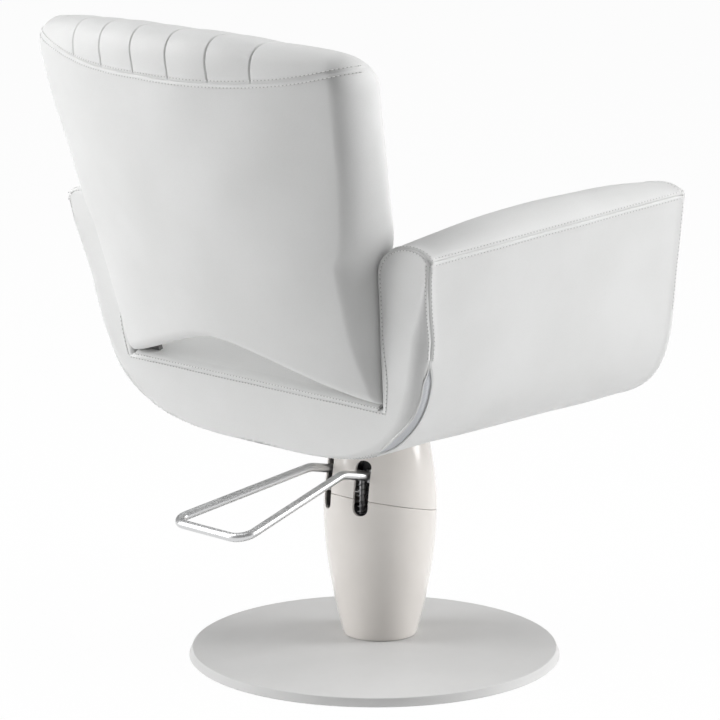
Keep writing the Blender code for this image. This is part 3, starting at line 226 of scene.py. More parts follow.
def ivory_finish():
    """Gloss moulded plastic: warm white, with a faint orange-peel wave under a clear gloss."""
    shell = Finish("ivory_gloss", {"Specular IOR Level": 0.5, "Coat Weight": 0.35, "Coat Roughness": 0.05})
    wave = shell.noise(55.0, 1.0)
    speck = shell.noise(900.0, 2.0)
    shell.bump(wave * 0.8 + speck * 0.06, 0.06, 0.0008)
    colour = shell.tint(wave * 0.6 + speck * 0.4, (0.835, 0.795, 0.755), (0.865, 0.828, 0.790))
    return shell.paint(colour, 0.17 + 0.06 * speck)


def powder_finish():
    """White powder coat: fine orange peel, matt, with slight scuffing in slow patches."""
    coat = Finish("powder_white", {"Specular IOR Level": 0.35})
    peel = coat.noise(1100.0, 2.0)
    scuff = coat.noise(14.0, 4.0, 0.65)
    coat.bump(peel, 0.18, 0.0003)
    colour = coat.tint(scuff, (0.640, 0.638, 0.633), (0.700, 0.699, 0.695))
    return coat.paint(colour, 0.46 + 0.12 * scuff + 0.05 * peel)


def metal_finish(name, dark, light, rough, spread, scale, relief):
    """A metal whose tone and roughness drift between two values over a fine noise, with a shallow relief."""
    metal = Finish(name, {"Metallic": 1.0})
    drift = metal.noise(scale, 3.0, 0.6)
    metal.bump(drift, relief, 0.0002)
    return metal.paint(metal.tint(drift, dark, light), rough + spread * drift)


def dull_finish(name, dark, light, rough, spread, scale, relief):
    """A matt stuff whose tone and roughness drift between two values, with a shallow relief."""
    stuff = Finish(name, {"Specular IOR Level": 0.35})
    drift = stuff.noise(scale, 4.0, 0.6)
    stuff.bump(drift, relief, 0.0004)
    return stuff.paint(stuff.tint(drift, dark, light), rough + spread * drift)


def plywood_finish():
    """Birch plywood: stretched fibres along X with a fine grain."""
    ply = Finish("plywood_birch", {"Specular IOR Level": 0.3})
    turn = ply.node("ShaderNodeMapping", None, {"Vector": ply.place(), "Scale": (6.0, 60.0, 240.0)})
    fibre = ply.node("ShaderNodeTexNoise", None,
                     {"Vector": turn, "Scale": 3.0, "Detail": 5.0, "Roughness": 0.6})
    ply.bump(fibre, 0.2, 0.0004)
    return ply.paint(ply.tint(fibre, (0.42, 0.27, 0.14), (0.66, 0.49, 0.30)), 0.55 + 0.15 * fibre)


FINISHES = {
    "leatherette": leatherette_finish(),
    "ivory_plastic": ivory_finish(),
    "powder_coat": powder_finish(),
    "chrome": metal_finish("chrome_bright", (0.66, 0.665, 0.67), (0.72, 0.725, 0.73),
                           0.30, 0.01, 40.0, 0.002),
    "steel": metal_finish("steel_turned", (0.42, 0.42, 0.43), (0.58, 0.58, 0.59), 0.28, 0.16, 320.0, 0.10),
    "cast_body": dull_finish("cast_grey_paint", (0.030, 0.030, 0.032), (0.055, 0.055, 0.058),
                             0.45, 0.2, 420.0, 0.35),
    # The back struts' dark grey is painted shade for the gap under the backrest.
    "strut_painted_shade": dull_finish("strut_shade_grey", (0.13, 0.13, 0.128), (0.18, 0.18, 0.176),
                               0.45, 0.2, 420.0, 0.2),
    "bronze": metal_finish("bronze_bush", (0.42, 0.26, 0.11), (0.60, 0.39, 0.18), 0.30, 0.15, 500.0, 0.15),
    "black_rubber": dull_finish("black_rubber_pad", (0.012, 0.012, 0.012), (0.03, 0.03, 0.03),
                                0.70, 0.2, 700.0, 0.3),
    "plywood": plywood_finish(),
    "zip_grey": dull_finish("zip_tape_grey", (0.57, 0.585, 0.61), (0.73, 0.745, 0.77),
                            0.48, 0.2, 1500.0, 0.4),
}
# The needle-hole finish is painted shade, not the leather's own colour.
THREAD, HOLE_SHADE = thread_finish(), painted_hole_shade_finish()


# Meshes from arrays

def ease(low, high, value):
    """A smooth step from 0 at low to 1 at high."""
    part = np.clip((value - low) / (high - low), 0.0, 1.0)
    return part * part * (3.0 - 2.0 * part)


def notch(distance, width):
    """A bell of height 1 over a distance, as wide as a seam's groove."""
    return np.exp(-((distance / width) ** 2))


def seam_groove(gap):
    """How deep a cover lies at a gap from a seam: a narrow groove with a low swell on both sides."""
    return SEAM_DEPTH * notch(gap, SEAM_WIDTH) - SEAM_SWELL * notch(np.abs(gap) - SWELL_PLACE, SWELL_WIDTH)


def unit(vectors):
    return vectors / np.maximum(np.linalg.norm(vectors, axis=-1, keepdims=True), 1e-12)


def points_of(x, y, z):
    return np.stack(np.broadcast_arrays(x, y, z), -1)


def grid_faces(rows, columns, close_rows=False, close_columns=False):
    """The quads of a rows x columns grid of points: each joins a point with its next three."""
    row = np.arange(rows if close_rows else rows - 1)
    column = np.arange(columns if close_columns else columns - 1)
    row, column = np.meshgrid(row, column, indexing="ij")
    row_next, column_next = (row + 1) % rows, (column + 1) % columns
    corners = [row * columns + column, row * columns + column_next,
               row_next * columns + column_next, row_next * columns + column]
    return np.stack(corners, -1).reshape(-1, 4)


def cleaned(mesh, merge):
    """Merges doubled points, drops what collapsed and turns every face outwards."""
    work = bmesh.new()
    work.from_mesh(mesh)
    bmesh.ops.remove_doubles(work, verts=work.verts, dist=merge)
    bmesh.ops.dissolve_degenerate(work, edges=work.edges, dist=merge)
    bmesh.ops.recalc_face_normals(work, faces=work.faces)
    work.to_mesh(mesh)
    work.free()


def mesh_piece(name, points, faces, finish, merge=2e-6):
    """A smooth-shaded object at the origin from arrays of points and faces."""
    mesh = bpy.data.meshes.new(name)
    mesh.from_pydata(np.asarray(points).reshape(-1, 3).tolist(), [], np.asarray(faces, dtype=object).tolist())
    cleaned(mesh, merge)
    mesh.polygons.foreach_set("use_smooth", np.ones(len(mesh.polygons), dtype=bool))
    mesh.materials.append(finish)
    piece = bpy.data.objects.new(name, mesh)
    bpy.context.scene.collection.objects.link(piece)
    return piece


def ringed_piece(name, points, finish):
    """A piece from a grid of rings: closed along each ring, shut where the first and last collapse."""
    return mesh_piece(name, points, grid_faces(len(points), points.shape[1], close_columns=True), finish)


def dress(piece, body, slot, *nodes):
    """Lets a piece ride on a body and stand for CAD nodes; the slot is not used."""
    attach(piece, body)
    if nodes:
        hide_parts(*nodes)
    return piece


def applied(piece):
    """Replaces a piece's mesh by what its modifiers make of it."""
    graph = bpy.context.evaluated_depsgraph_get()
    graph.update()
    mesh = bpy.data.meshes.new_from_object(piece.evaluated_get(graph))
    piece.modifiers.clear()
    piece.data = mesh
    return piece


def grid_normals(points):
    """Normals of a grid of rings: the cross product of its central differences along and across the rings."""
    down = np.gradient(points, axis=0)
    along = 0.5 * (np.roll(points, -1, axis=1) - np.roll(points, 1, axis=1))
    return unit(np.cross(down, along))


def surface_at(make, first, second, core, step=1e-4):
    """Points of a surface of two parameters and its normals by small differences, turned away from a core."""
    here = make(first, second)
    across = make(first + step, second) - make(first - step, second)
    along = make(first, second + step) - make(first, second - step)
    normals = unit(np.cross(across, along))
    inward = np.sum(normals * (here - np.array(core)), -1, keepdims=True) < 0
    return here, np.where(inward, -normals, normals)


def ripple(points, seed, size, depth):
    """A slow, fixed undulation: the sum of five sine waves in set directions, about one size apart."""
    wave = np.zeros(points.shape[:-1])
    for k in range(5):
        turn = seed + 2.399 * k
        way = np.array([math.cos(turn), math.sin(turn), math.cos(1.7 * turn + 0.6)])
        wave = wave + np.sin(points @ way * (2 * math.pi / size) * (0.7 + 0.21 * k) + 1.3 * turn)
    return depth * wave / 2.2


def on_cover(row, wave):
    """Lifts a row from the plain surface onto the stuffed one: by the slow wave and the seam's swell."""
    path, normals = row
    return path + normals * (ripple(path, *wave) + ROW_LIFT)[:, None], normals


def both_sides(row):
    return [row, (row[0] * MIRROR, row[1] * MIRROR)]


def run_along(path):
    return np.concatenate([[0.0], np.cumsum(np.linalg.norm(np.diff(path, axis=0), axis=1))])


def shut(rings):
    """Rings with their middle point, as a ring of no width, added before the first and after the last."""
    ends = [np.repeat(rings[k].mean(axis=0)[None, None], rings.shape[1], axis=1) for k in (0, -1)]
    return np.concatenate([ends[0], rings, ends[1]])


def tube(path, radius, sides):
    """A circle carried along a path and shut to a point at both ends; its frame keeps one side up."""
    along = unit(np.gradient(path, axis=0))
    up = np.array([0.0, 0.0, 1.0]) - along * along[:, 2:3]
    steep = np.linalg.norm(up, axis=1) < 0.2
    up[steep] = np.cross(along[steep], np.array([1.0, 0.0, 0.0]))
    up = unit(up)
    across = np.cross(along, up)
    turn = np.linspace(0.0, 2 * math.pi, sides, endpoint=False)[None, :, None]
    radius = np.broadcast_to(np.asarray(radius, dtype=float), (len(path),))[:, None, None]
    return shut(path[:, None] + radius * (np.cos(turn) * across[:, None] + np.sin(turn) * up[:, None]))


def stitch_shapes():
    """One stitch along X: a bead of thread, its radius half an ellipse, and after it a flat round disc of
    painted shade for the needle hole.
    """
    share = np.linspace(0.0, 1.0, 5)[:, None]
    swell = np.sqrt(np.maximum(1.0 - (2.0 * share - 1.0) ** 2, 0.0))
    turn = np.linspace(0.0, 2 * math.pi, 6, endpoint=False)[None, :]
    bead = points_of((share - 0.5) * STITCH_LENGTH, STITCH_RADIUS * swell * np.cos(turn),
                     STITCH_RADIUS * (swell * np.sin(turn) + swell - 0.7))
    turn = np.linspace(0.0, 2 * math.pi, 8, endpoint=False)
    oval = points_of(HOLE_RADIUS * np.cos(turn), HOLE_RADIUS * np.sin(turn), 0.0)
    middle = np.array([0.5 * STITCH_PITCH, 0.0, 0.0])
    low, high = np.array([0.0, 0.0, -HOLE_SINK]), np.array([0.0, 0.0, HOLE_PROUD])
    hole = np.concatenate([oval + middle + low, 0.85 * oval + middle + high])
    hole_faces = grid_faces(2, 8, close_columns=True).tolist() + [list(range(8, 16))]
    return {"thread": (bead.reshape(-1, 3), grid_faces(5, 6, close_columns=True).tolist(), THREAD),
            "holes": (hole, hole_faces, HOLE_SHADE)}


def stitch_rows(name, rows, body):
    """Thread beads and grey discs of painted needle-hole shade at an even pitch along rows of (path, normals).
    """
    places, frames = [], []
    for path, normals in rows:
        run = run_along(path)
        stops = np.linspace(0.0, run[-1], max(2, int(run[-1] / STITCH_PITCH) + 1))
        spots = np.stack([np.interp(stops, run, path[:, k]) for k in range(3)], -1)
        out = np.stack([np.interp(stops, run, normals[:, k]) for k in range(3)], -1)
        along = unit(np.gradient(spots, axis=0))
        out = unit(out - along * np.sum(out * along, -1, keepdims=True))
        places.append(spots)
        frames.append(np.stack([along, np.cross(out, along), out], 1))
    spots, turns = np.concatenate(places), np.concatenate(frames)
    for label, (shape, faces, finish) in stitch_shapes().items():
        points = spots[:, None, :] + np.einsum("pk,nkd->npd", shape, turns)
        firsts = np.arange(len(spots)) * len(shape)
        placed = [[[first + corner for corner in face] for face in faces] for first in firsts.tolist()]
        piece = mesh_piece(f"{name}_{label}", points, [face for one in placed for face in one], finish, 1e-7)
        dress(piece, body, "leatherette")


# The tub

NEAR_SEAM = np.array([-0.016, -0.0115, -0.0085, -0.0062, -0.0045, -0.0031, -0.0020, -0.0012, -0.0006,
                      0.0, 0.0006, 0.0012, 0.0020, 0.0031])
SEAM_RUN, SEAM_SHIFT, SKIN_COLUMNS = 0.0025, 0.0105, 58
TUB_CORE = (0.20, 0.10, 0.50)
ZIP_START, ZIP_END, ZIP_HALF, ZIP_SUNK, ZIP_EDGE = 2.014, 2.59, 0.0072, 0.0024, 0.0007
TOOTH_PITCH, TOOTH_RISE, TAPE_SINK, TAPE_UNDERSIDE = 0.0022, 0.0009, 0.0019, 0.0032


def side_half(z):
    """The outer side's half width: the belly's superellipse below, plus an even flare up to the arms."""
    depth = np.clip((BELLY_Z + BELLY_RISE - z) / BELLY_RISE, 0.0, 1.0)
    belly = BELLY_HALF * (1.0 - depth**BELLY_ROUND) ** (1.0 / BELLY_ROUND)
    return belly + SIDE_FLARE * (z - BELLY_Z) / SIDE_HEIGHT


def arm_seam(y):
    return BELLY_Z + ARM_SEAM + ARM_SEAM_SLOPE * y


def arm_crown(y):
    """The arm's crown line: a parabola about its highest place, with a further dip towards the rear."""
    part = (y - ARM_CROWN_Y) / (REAR_Y - ARM_CROWN_Y)
    dip = np.maximum(0.0, y / REAR_Y) ** 3
    return BELLY_Z + ARM_CROWN - ARM_CROWN_SAG * part**2 - ARM_CROWN_DIP * dip


def inner_face(z):
    return FLOOR_HALF + INNER_FLARE * (z - FLOOR_Z) / (BELLY_Z + ARM_SEAM - FLOOR_Z)


def tub_front(z):
    return FRONT_Y + FRONT_LEAN * (z - FLOOR_Z)


def tub_rear(z):
    return REAR_Y + REAR_LEAN * (z - FLOOR_Z)


def along_y(guide, z):
    """The place along Y: a guide between both ends at the seat's height, leaned with the ends."""
    share = (guide - FRONT_Y) / (REAR_Y - FRONT_Y)
    return tub_front(z) + (tub_rear(z) - tub_front(z)) * share


def outer_skin(u, y, inset):
    """Half section of the outer skin: u 0 to 1 is the crown's arc, 1 to 2 the side, 2 to 3 the belly's curve.

    The inset moves the crown in and down, the side and the belly along their normals.
    """
    seam, crown = arm_seam(y), arm_crown(y)
    ridge = side_half(seam) - CROWN_INSET
    turn = (1.0 - np.clip(u, 0.0, 1.0)) * math.pi / 2
    drop = CROWN_SHARE * inset
    arc_x = ridge + (CROWN_INSET - inset) * np.cos(turn)
    arc_z = seam + (crown - seam) * np.sin(turn) - drop
    roll = (3.0 - np.clip(u, 2.0, 3.0)) * math.pi / 2
    power = 2.0 / BELLY_ROUND
    sine, cosine = np.maximum(np.sin(roll), 0.0), np.maximum(np.cos(roll), 0.0)
    belly_z = BELLY_Z + BELLY_RISE * (1.0 - cosine**power) - BELLY_TILT * y * cosine**power
    side_z = seam - (seam - BELLY_Z - BELLY_RISE) * (np.clip(u, 1.0, 2.0) - 1.0)
    z = np.where(u > 2.0, belly_z, side_z)
    x = BELLY_HALF * sine**power + SIDE_FLARE * (z - BELLY_Z) / SIDE_HEIGHT
    slope = SIDE_FLARE / SIDE_HEIGHT
    normal_x = sine ** (2.0 - power) / BELLY_HALF
    normal_z = -(cosine ** (2.0 - power)) / BELLY_RISE - slope * normal_x
    length = np.hypot(normal_x, normal_z)
    move = inset * (BELLY_SHARE + (1.0 - BELLY_SHARE) * ease(0.0, 1.0, sine))
    fade = 1.0 - ease(1.0, 1.5, u)
    low_x = x - move * normal_x / length
    low_z = z - move * normal_z / length * (1.0 - fade) - drop * fade
    return np.where(u < 1.0, arc_x, low_x), np.where(u < 1.0, arc_z, low_z)


def inner_skin(w, y, inset):
    """Half section of the inner skin: w 0 to 1 is the arm's inner arc, 1 to 2 its face, 2 to 3 the floor.

    The inset draws the face outwards, most of all a little above the floor, and the floor down.
    """
    seam, crown = arm_seam(y), arm_crown(y)
    ridge = side_half(seam) - CROWN_INSET
    spring = crown - INNER_ROUND
    shy, drop = INNER_SHARE * inset, CROWN_SHARE * inset
    turn = np.clip(w, 0.0, 1.0) * math.pi / 2
    face_z = spring - (spring - FLOOR_Z + shy) * (np.clip(w, 1.0, 2.0) - 1.0)
    hollow = inset * (INNER_SHARE + HOLLOW_SHARE * notch(face_z - HOLLOW_Z, HOLLOW_HEIGHT))
    arc_x = ridge - (ridge - inner_face(spring) - shy) * np.sin(turn)
    arc_z = spring + (INNER_ROUND - drop) * np.cos(turn)
    floor_x = (FLOOR_HALF + shy) * (3.0 - np.clip(w, 2.0, 3.0))
    face_x = inner_face(face_z) + hollow + (shy - hollow) * ease(1.9, 2.0, w)
    x = np.where(w < 1.0, arc_x, np.where(w < 2.0, face_x, floor_x))
    return x, np.where(w < 1.0, arc_z, face_z)


def rear_round(u):
    """The outer rear edge's rounding: tight over the arms, fuller round the belly."""
    return REAR_ROUND_HIGH + (REAR_ROUND_LOW - REAR_ROUND_HIGH) * np.clip((u - 1.15) / 0.90, 0.0, 1.0) ** 1.3


def inner_round(w):
    return REAR_ROUND_HIGH + (INNER_EDGE_ROUND - REAR_ROUND_HIGH) * ease(0.0, 0.8, w)


def front_round(u):
    """The front edge's rounding: fuller over the arm's crown than down its side."""
    return FRONT_ROUND + FRONT_ROUND_CROWN * (1.0 - ease(0.6, 1.15, u))


def front_inner_round(w):
    return FRONT_ROUND + FRONT_ROUND_CROWN * (1.0 - ease(0.0, 0.8, w))


def seam_run(u):
    """How far past the start of the rear rounding the seam lies: further over on the belly."""
    return SEAM_RUN + SEAM_SHIFT * ease(2.10, 2.42, u)


def zip_band(u):
    """The zip's middle, as a run over the rear rounding, and its half width: it opens and then narrows."""
    half = ZIP_HALF * ease(2.008, 2.075, u) * (1.0 - 0.55 * ease(2.44, 2.60, u))
    return seam_run(u) - 0.0003, half


def end_path(skin, key, radius, run, rear):
    """A point past the start of an end's rounding: a quarter circle over the edge, then straight across."""
    turn = np.clip(run / radius, 0.0, math.pi / 2)
    past = np.maximum(run - radius * math.pi / 2, 0.0)
    inset = radius * (1.0 - np.cos(turn)) + past
    set_back = radius * (1.0 - np.sin(turn)) - np.minimum(run, 0.0)
    guide = REAR_Y - set_back if rear else FRONT_Y + set_back
    x, z = skin(key, guide, inset)
    return points_of(x, along_y(guide, z), z)


def skin_point(key, guide):
    x, z = outer_skin(key, guide, 0.0 * guide)
    return points_of(x, along_y(guide, z), z)


def rear_edge(key, run):
    return end_path(outer_skin, key, rear_round(key), run, True)


def rear_inner_edge(key, run):
    return end_path(inner_skin, key, inner_round(key), run, True)


def front_edge(key, run):
    return end_path(outer_skin, key, front_round(key), run, False)


def end_runs(radius, seam):
    """Runs over an end's rounding: close together at its seam, then even to the end of the quarter circle."""
    near = seam + NEAR_SEAM[None, :]
    share = np.linspace(0.0, 1.0, 13)[None, 1:]
    return np.concatenate([near, near[:, -1:] + (radius * math.pi / 2 - near[:, -1:]) * share], axis=1)


def lengthwise(skin, key, front_radius, radius, seam):
    """A skin from its front edge to its rear edge, and each point's distance from both end seams."""
    front_runs = end_runs(front_radius, np.full_like(key, SEAM_RUN))[:, ::-1]
    rear_runs = end_runs(radius, seam)
    first = FRONT_Y + front_radius - front_runs[:, -1:]
    last = REAR_Y - radius + rear_runs[:, :1]
    guide = first + (last - first) * np.linspace(0.0, 1.0, SKIN_COLUMNS + 2)[None, 1:-1]
    x, z = skin(key, guide, 0.0 * guide)
    parts = [end_path(skin, key, front_radius, front_runs, False), points_of(x, along_y(guide, z), z),
             end_path(skin, key, radius, rear_runs, True)]
    far, end_far = np.ones_like(guide), np.ones_like(rear_runs)
    front_gap = np.concatenate([front_runs - SEAM_RUN, far, end_far], axis=1)
    rear_gap = np.concatenate([end_far, far, rear_runs - seam], axis=1)
    return np.concatenate(parts, axis=1), front_gap, rear_gap


def tub_keys():
    """Matching places on both skins, from the arm's ridge to the middle; the inner corner waits there."""
    arc = 1.0 - np.linspace(1.0, 0.0, 24) ** 1.7
    side = 1.0 + np.linspace(0.0, 1.0, 44)[1:] ** 1.6
    belly = 2.5 - 0.5 * np.cos(np.linspace(0.0, math.pi, 65)[1:])
    face, corner = np.linspace(1.0, 2.0, 44)[1:], np.linspace(2.0, 2.004, 23)[1:]
    floor = np.linspace(2.004, 3.0, 43)[1:]
    outer = np.concatenate([arc, side, belly])
    inner = np.concatenate([np.linspace(0.0, 1.0, 24), face, corner, floor])
    return outer[:, None], inner[:, None]


def end_panel(outer, inner, w, column, way):
    """The flat end between both skins' edges, drawn across in even steps, and domed a little on the arm."""
    across = np.linspace(0.0, 1.0, 19)[None, 1:-1, None]
    first, last = outer[:, [column]], inner[:, [column]]
    flat = first * (1.0 - across) + last * across
    width = np.linalg.norm(first - last, axis=-1)
    full = np.clip(width / PANEL_WIDE, 0.0, 1.0) * (1.0 - ease(1.1, 1.7, w))
    flat[..., 1] += way * PANEL_DOME * (4.0 * across * (1.0 - across))[..., 0] * full
    return flat


def outer_depth(u, outer, front_gap, rear_gap):
    """How deep the outer skin lies: grooves along its end seams and arm seam, a sunk band under the zip."""
    zipped = ease(2.006, 2.022, u) - ease(2.56, 2.62, u)
    steps = np.linalg.norm(np.diff(outer, axis=0), axis=-1)
    run = np.concatenate([np.zeros((1, outer.shape[1])), np.cumsum(steps, axis=0)])
    from_arm_seam = run - run[int(np.argmin(np.abs(u[:, 0] - 1.0)))]
    past_rear = (rear_gap > 0.0003) & (rear_gap < 0.5)
    past_front = (front_gap > 0.0003) & (front_gap < 0.5)
    arm = np.where(past_rear | past_front, 0.0, seam_groove(from_arm_seam))
    middle, half = zip_band(u)
    from_zip = np.abs(rear_gap + seam_run(u) - middle)
    inside = 1.0 - ease(half - ZIP_EDGE, half + ZIP_EDGE, from_zip)
    sunk = ZIP_SUNK * inside * ease(0.0005, 0.003, half)
    return seam_groove(front_gap) + seam_groove(rear_gap) * (1.0 - zipped) + arm + sunk


def make_tub_cover():
    """The cover as rings round the section, half of it and its mirror image, with grooves along its seams."""
    u, w = tub_keys()
    plain = np.full_like(w, SEAM_RUN)
    outer, front_gap, rear_gap = lengthwise(outer_skin, u, front_round(u), rear_round(u), seam_run(u))
    inner, inner_front, inner_rear = lengthwise(inner_skin, w, front_inner_round(w), inner_round(w), plain)
    rear, front = end_panel(outer, inner, w, -1, 1.0), end_panel(outer, inner, w, 0, -1.0)
    half = np.concatenate([outer, rear, inner[:, ::-1], front[:, ::-1]], axis=1)
    inner_depth = (seam_groove(inner_front) + seam_groove(inner_rear)) * (1.0 - ease(0.3, 1.0, w))
    flat = np.zeros(rear.shape[:2])
    outside = outer_depth(u, outer, front_gap, rear_gap)
    depth = np.concatenate([outside, flat, inner_depth[:, ::-1], flat], axis=1)
    normals = grid_normals(half)
    count, width = outer.shape[1], rear.shape[1]
    if normals[60, count // 2, 0] < 0:
        normals = -normals
    last = count + width + count
    ridge = unit(normals[0, :count] + normals[0, count + width:last][::-1])
    normals[0, :count], normals[0, count + width:last] = ridge, ridge[::-1]
    normals[0, count:count + width], normals[0, last:] = ridge[-1], ridge[0]
    half = half + normals * (ripple(half, *TUB_WAVE) - depth)[..., None]
    half[-1, :, 0] = 0.0
    cover = ringed_piece("tub_cover", np.concatenate([half, half[-2::-1] * MIRROR]), FINISHES["leatherette"])
    dress(cover, "seat", "leatherette", "tub")


def tub_rows(make, keys, runs):
    return both_sides(on_cover(surface_at(make, keys, runs, TUB_CORE), TUB_WAVE))


def arm_seam_rows():
    """Two rows along the arm's outer seam, on the crown's arc and on the side, an offset away from it."""
    guide = np.linspace(FRONT_Y + FRONT_ROUND, REAR_Y - REAR_ROUND_HIGH, 160)
    seam = arm_seam(guide)
    above = 1.0 - ROW_OFFSET / ((arm_crown(guide) - seam) * math.pi / 2)
    below = 1.0 + ROW_OFFSET / (seam - BELLY_Z - BELLY_RISE)
    return tub_rows(skin_point, above, guide) + tub_rows(skin_point, below, guide)


def end_seam_rows():
    """Rows on both sides of the end seams, up the side and over the crown, and one down the inner edge."""
    outside, over = np.linspace(ZIP_START, 0.002, 160), np.linspace(0.002, 0.9, 50)
    down = np.linspace(0.002, 1.95, 160)
    inner_run = inner_round(down) * math.pi / 2 + 0.0005 + 0.002 * ease(0.0, 0.6, down)
    rows = tub_rows(rear_inner_edge, down, inner_run)
    rows += tub_rows(rear_inner_edge, over, np.full_like(over, SEAM_RUN - ROW_OFFSET))
    for shift in (-ROW_OFFSET, ROW_OFFSET):
        rows += tub_rows(rear_edge, outside, SEAM_RUN + shift + 0.0 * outside)
        rows += tub_rows(front_edge, outside, SEAM_RUN + shift + 0.0 * outside)
    return rows


def panel_rows():
    """Rows across the rear: on the cushion's shoulder, below the seat seam, two along the belly's edge."""
    x = np.linspace(-FLOOR_HALF + 0.004, FLOOR_HALF - 0.004, 200)
    lean = 0.27
    shoulder = points_of(x, CUSHION_REAR + CUSHION_SHOULDER * (math.cos(lean) - 1.0),
                         CUSHION_SEAM_Z + CUSHION_SHOULDER * math.sin(lean))
    rows = [(shoulder, np.repeat([[0.0, math.cos(lean), math.sin(lean)]], len(x), axis=0))]
    floor, belly = np.linspace(2.002, 3.0, 100), np.linspace(2.61, 2.86, 50)
    rows += tub_rows(rear_inner_edge, floor, np.full_like(floor, PANEL_ROW_RUN))
    for shift in (-ROW_OFFSET, ROW_OFFSET):
        rows += tub_rows(rear_edge, belly, seam_run(belly) + shift)
    return rows


# The zips at the rear corners

def make_zips():
    """Leaf-shaped zips over the rear rounding: a sunk tape with slanting teeth, between two rolled lips."""
    key = np.linspace(ZIP_START, ZIP_END, 640)[:, None]
    middle, half = zip_band(key)
    across = np.linspace(-1.0, 1.0, 15)[None, :]
    here, normals = surface_at(rear_edge, key + 0.0 * across, middle + half * across, TUB_CORE)
    run = run_along(here[:, 7])[:, None]
    teeth = 0.5 + 0.5 * np.sin(2 * math.pi * (run / TOOTH_PITCH + 1.1 * across))
    rise = TOOTH_RISE * teeth * notch(across, 0.62) - TAPE_SINK
    below = (here - normals * TAPE_UNDERSIDE)[:, ::-1]
    shell = shut(np.concatenate([here + normals * rise[..., None], below], axis=1))
    swell = np.sin(np.linspace(0.03, 0.985, len(key[::4])) * math.pi) ** 0.3
    for side, label in ((1.0, "left"), (-1.0, "right")):
        way = np.array([side, 1.0, 1.0])
        tape = ringed_piece(f"zip_tape_{label}", shell * way, FINISHES["zip_grey"])
        dress(tape, "seat", "zip_grey", f"zip_{label}")
        for lip, edge, radius in (("outer", -1.0, 0.0011), ("inner", 1.0, 0.0017)):
            spine, out = surface_at(rear_edge, key[::4, 0], (middle + edge * half)[::4, 0], TUB_CORE)
            roll = tube(spine - out * 0.0003, radius * swell, 14) * way
            piece = ringed_piece(f"zip_lip_{lip}_{label}", roll, FINISHES["leatherette"])
            dress(piece, "seat", "leatherette")


# The backrest

def back_lift(level):
    """How far a level lies up the top roll: 0 below it, 1 at the top."""
    last = 1.0 - BACK_ROLL / BACK_HEIGHT
    return np.clip((level - last) / (1.0 - last), 0.0, 1.0)


def back_half(level):
    """Half width at a level: close to the arms below, opening by a power above, round at the corners."""
    rise = BACK_HEIGHT * level
    low = BACK_FOOT_HALF + BACK_WAIST_FLARE * np.clip(rise / BACK_WAIST, 0.0, 1.0)
    part = np.clip((rise - BACK_WAIST) / (BACK_HEIGHT - BACK_WAIST), 0.0, 1.0)
    start, power = BACK_FLARE_START, BACK_FLARE_POWER
    flare = ((part + start) ** power - start**power) / ((1.0 + start) ** power - start**power)
    narrow = BACK_CORNER * (1.0 - np.sqrt(1.0 - back_lift(level) ** 2))
    return low + (BACK_TOP_HALF - BACK_FOOT_HALF - BACK_WAIST_FLARE) * flare - narrow


def back_rear(x, z):
    """The rear face: a lean that eases upwards, wrapped forwards towards its sides, less so at the top."""
    level, part = (z - BACK_FOOT) / BACK_HEIGHT, x / BACK_TOP_HALF
    middle = BACK_Y + BACK_LEAN * (z - BACK_FOOT) - BACK_LEAN_SAG * level**2
    wrap = BACK_LOW_WRAP * (1.0 - ease(0.40, 0.95, level))
    return middle - BACK_PLAN_SAG * part**2 - wrap * part**4


def back_arch(x):
    """The lower edge's arch: a power curve of the width that runs out softly, a little below the foot."""
    rest = 1.0 - np.minimum(1.0, np.abs(x) / ARCH_HALF) ** ARCH_POWER
    return ARCH_RISE * rest**ARCH_RUNOUT - ARCH_LOW


def back_seam(x):
    """Height of the seam across the backrest's rear, under its top roll: a shallow smile."""
    return BACK_SEAM_LOW + BACK_SEAM_RISE * np.minimum(1.0, np.abs(x) / BACK_SEAM_HALF) ** BACK_SEAM_POWER


def rounded_share(distance, radius):
    """The share of full thickness near an edge: a superellipse quarter over a radius."""
    part = np.clip(1.0 - distance / radius, 0.0, 1.0)
    return (1.0 - part**BACK_SIDE_POWER) ** (1.0 / BACK_SIDE_POWER)


def back_share(level):
    """The share of full thickness at a level: round at the foot, and the top roll's superellipse."""
    foot = np.clip(1.0 - level * BACK_HEIGHT / BACK_FOOT_ROUND, 0.0, 1.0)
    roll = (1.0 - back_lift(level) ** BACK_ROLL_POWER) ** (1.0 / BACK_ROLL_POWER)
    return (1.0 - foot**2) ** 0.4 * roll


def back_surface(x, level, rear):
    """The rear or the front: a ridge inside the pad, plus or minus a rounded share of the thickness."""
    arch = back_arch(x)
    droop = BACK_DROOP * (x / CHANNEL_REACH) ** 2
    z = BACK_FOOT + arch * (1.0 - level) + (BACK_HEIGHT - droop * level) * level
    thicker = ease(0.25, 1.0, (z - BACK_FOOT) / BACK_HEIGHT)
    off_foot = ease(0.0, BACK_FOOT_TAPER, z - BACK_FOOT - arch)
    full = BACK_FOOT_THICK + (BACK_TOP_THICK - BACK_FOOT_THICK) * thicker
    full = full * (0.5 + 0.5 * off_foot)
    split = 0.5 + (BACK_RIDGE_SHARE - 0.5) * ease(0.5, 0.9, level)
    split = split - FOOT_SPLIT * (1.0 - off_foot)
    ridge = back_rear(x, z) - split * full
    to_side = np.maximum(back_half(level) - np.abs(x), 0.0)
    share = back_share(level)
    if rear:
        radius = BACK_REAR_ROUND * (0.40 + 0.60 * ease(0.0, 0.20, level))
        y = ridge + split * full * share * rounded_share(to_side, radius)
    else:
        radius = BACK_FRONT_ROUND * (0.30 + 0.70 * ease(0.42, 0.66, level))
        y = ridge - (1.0 - split) * full * share * rounded_share(to_side, radius)
    return points_of(x, y, z)


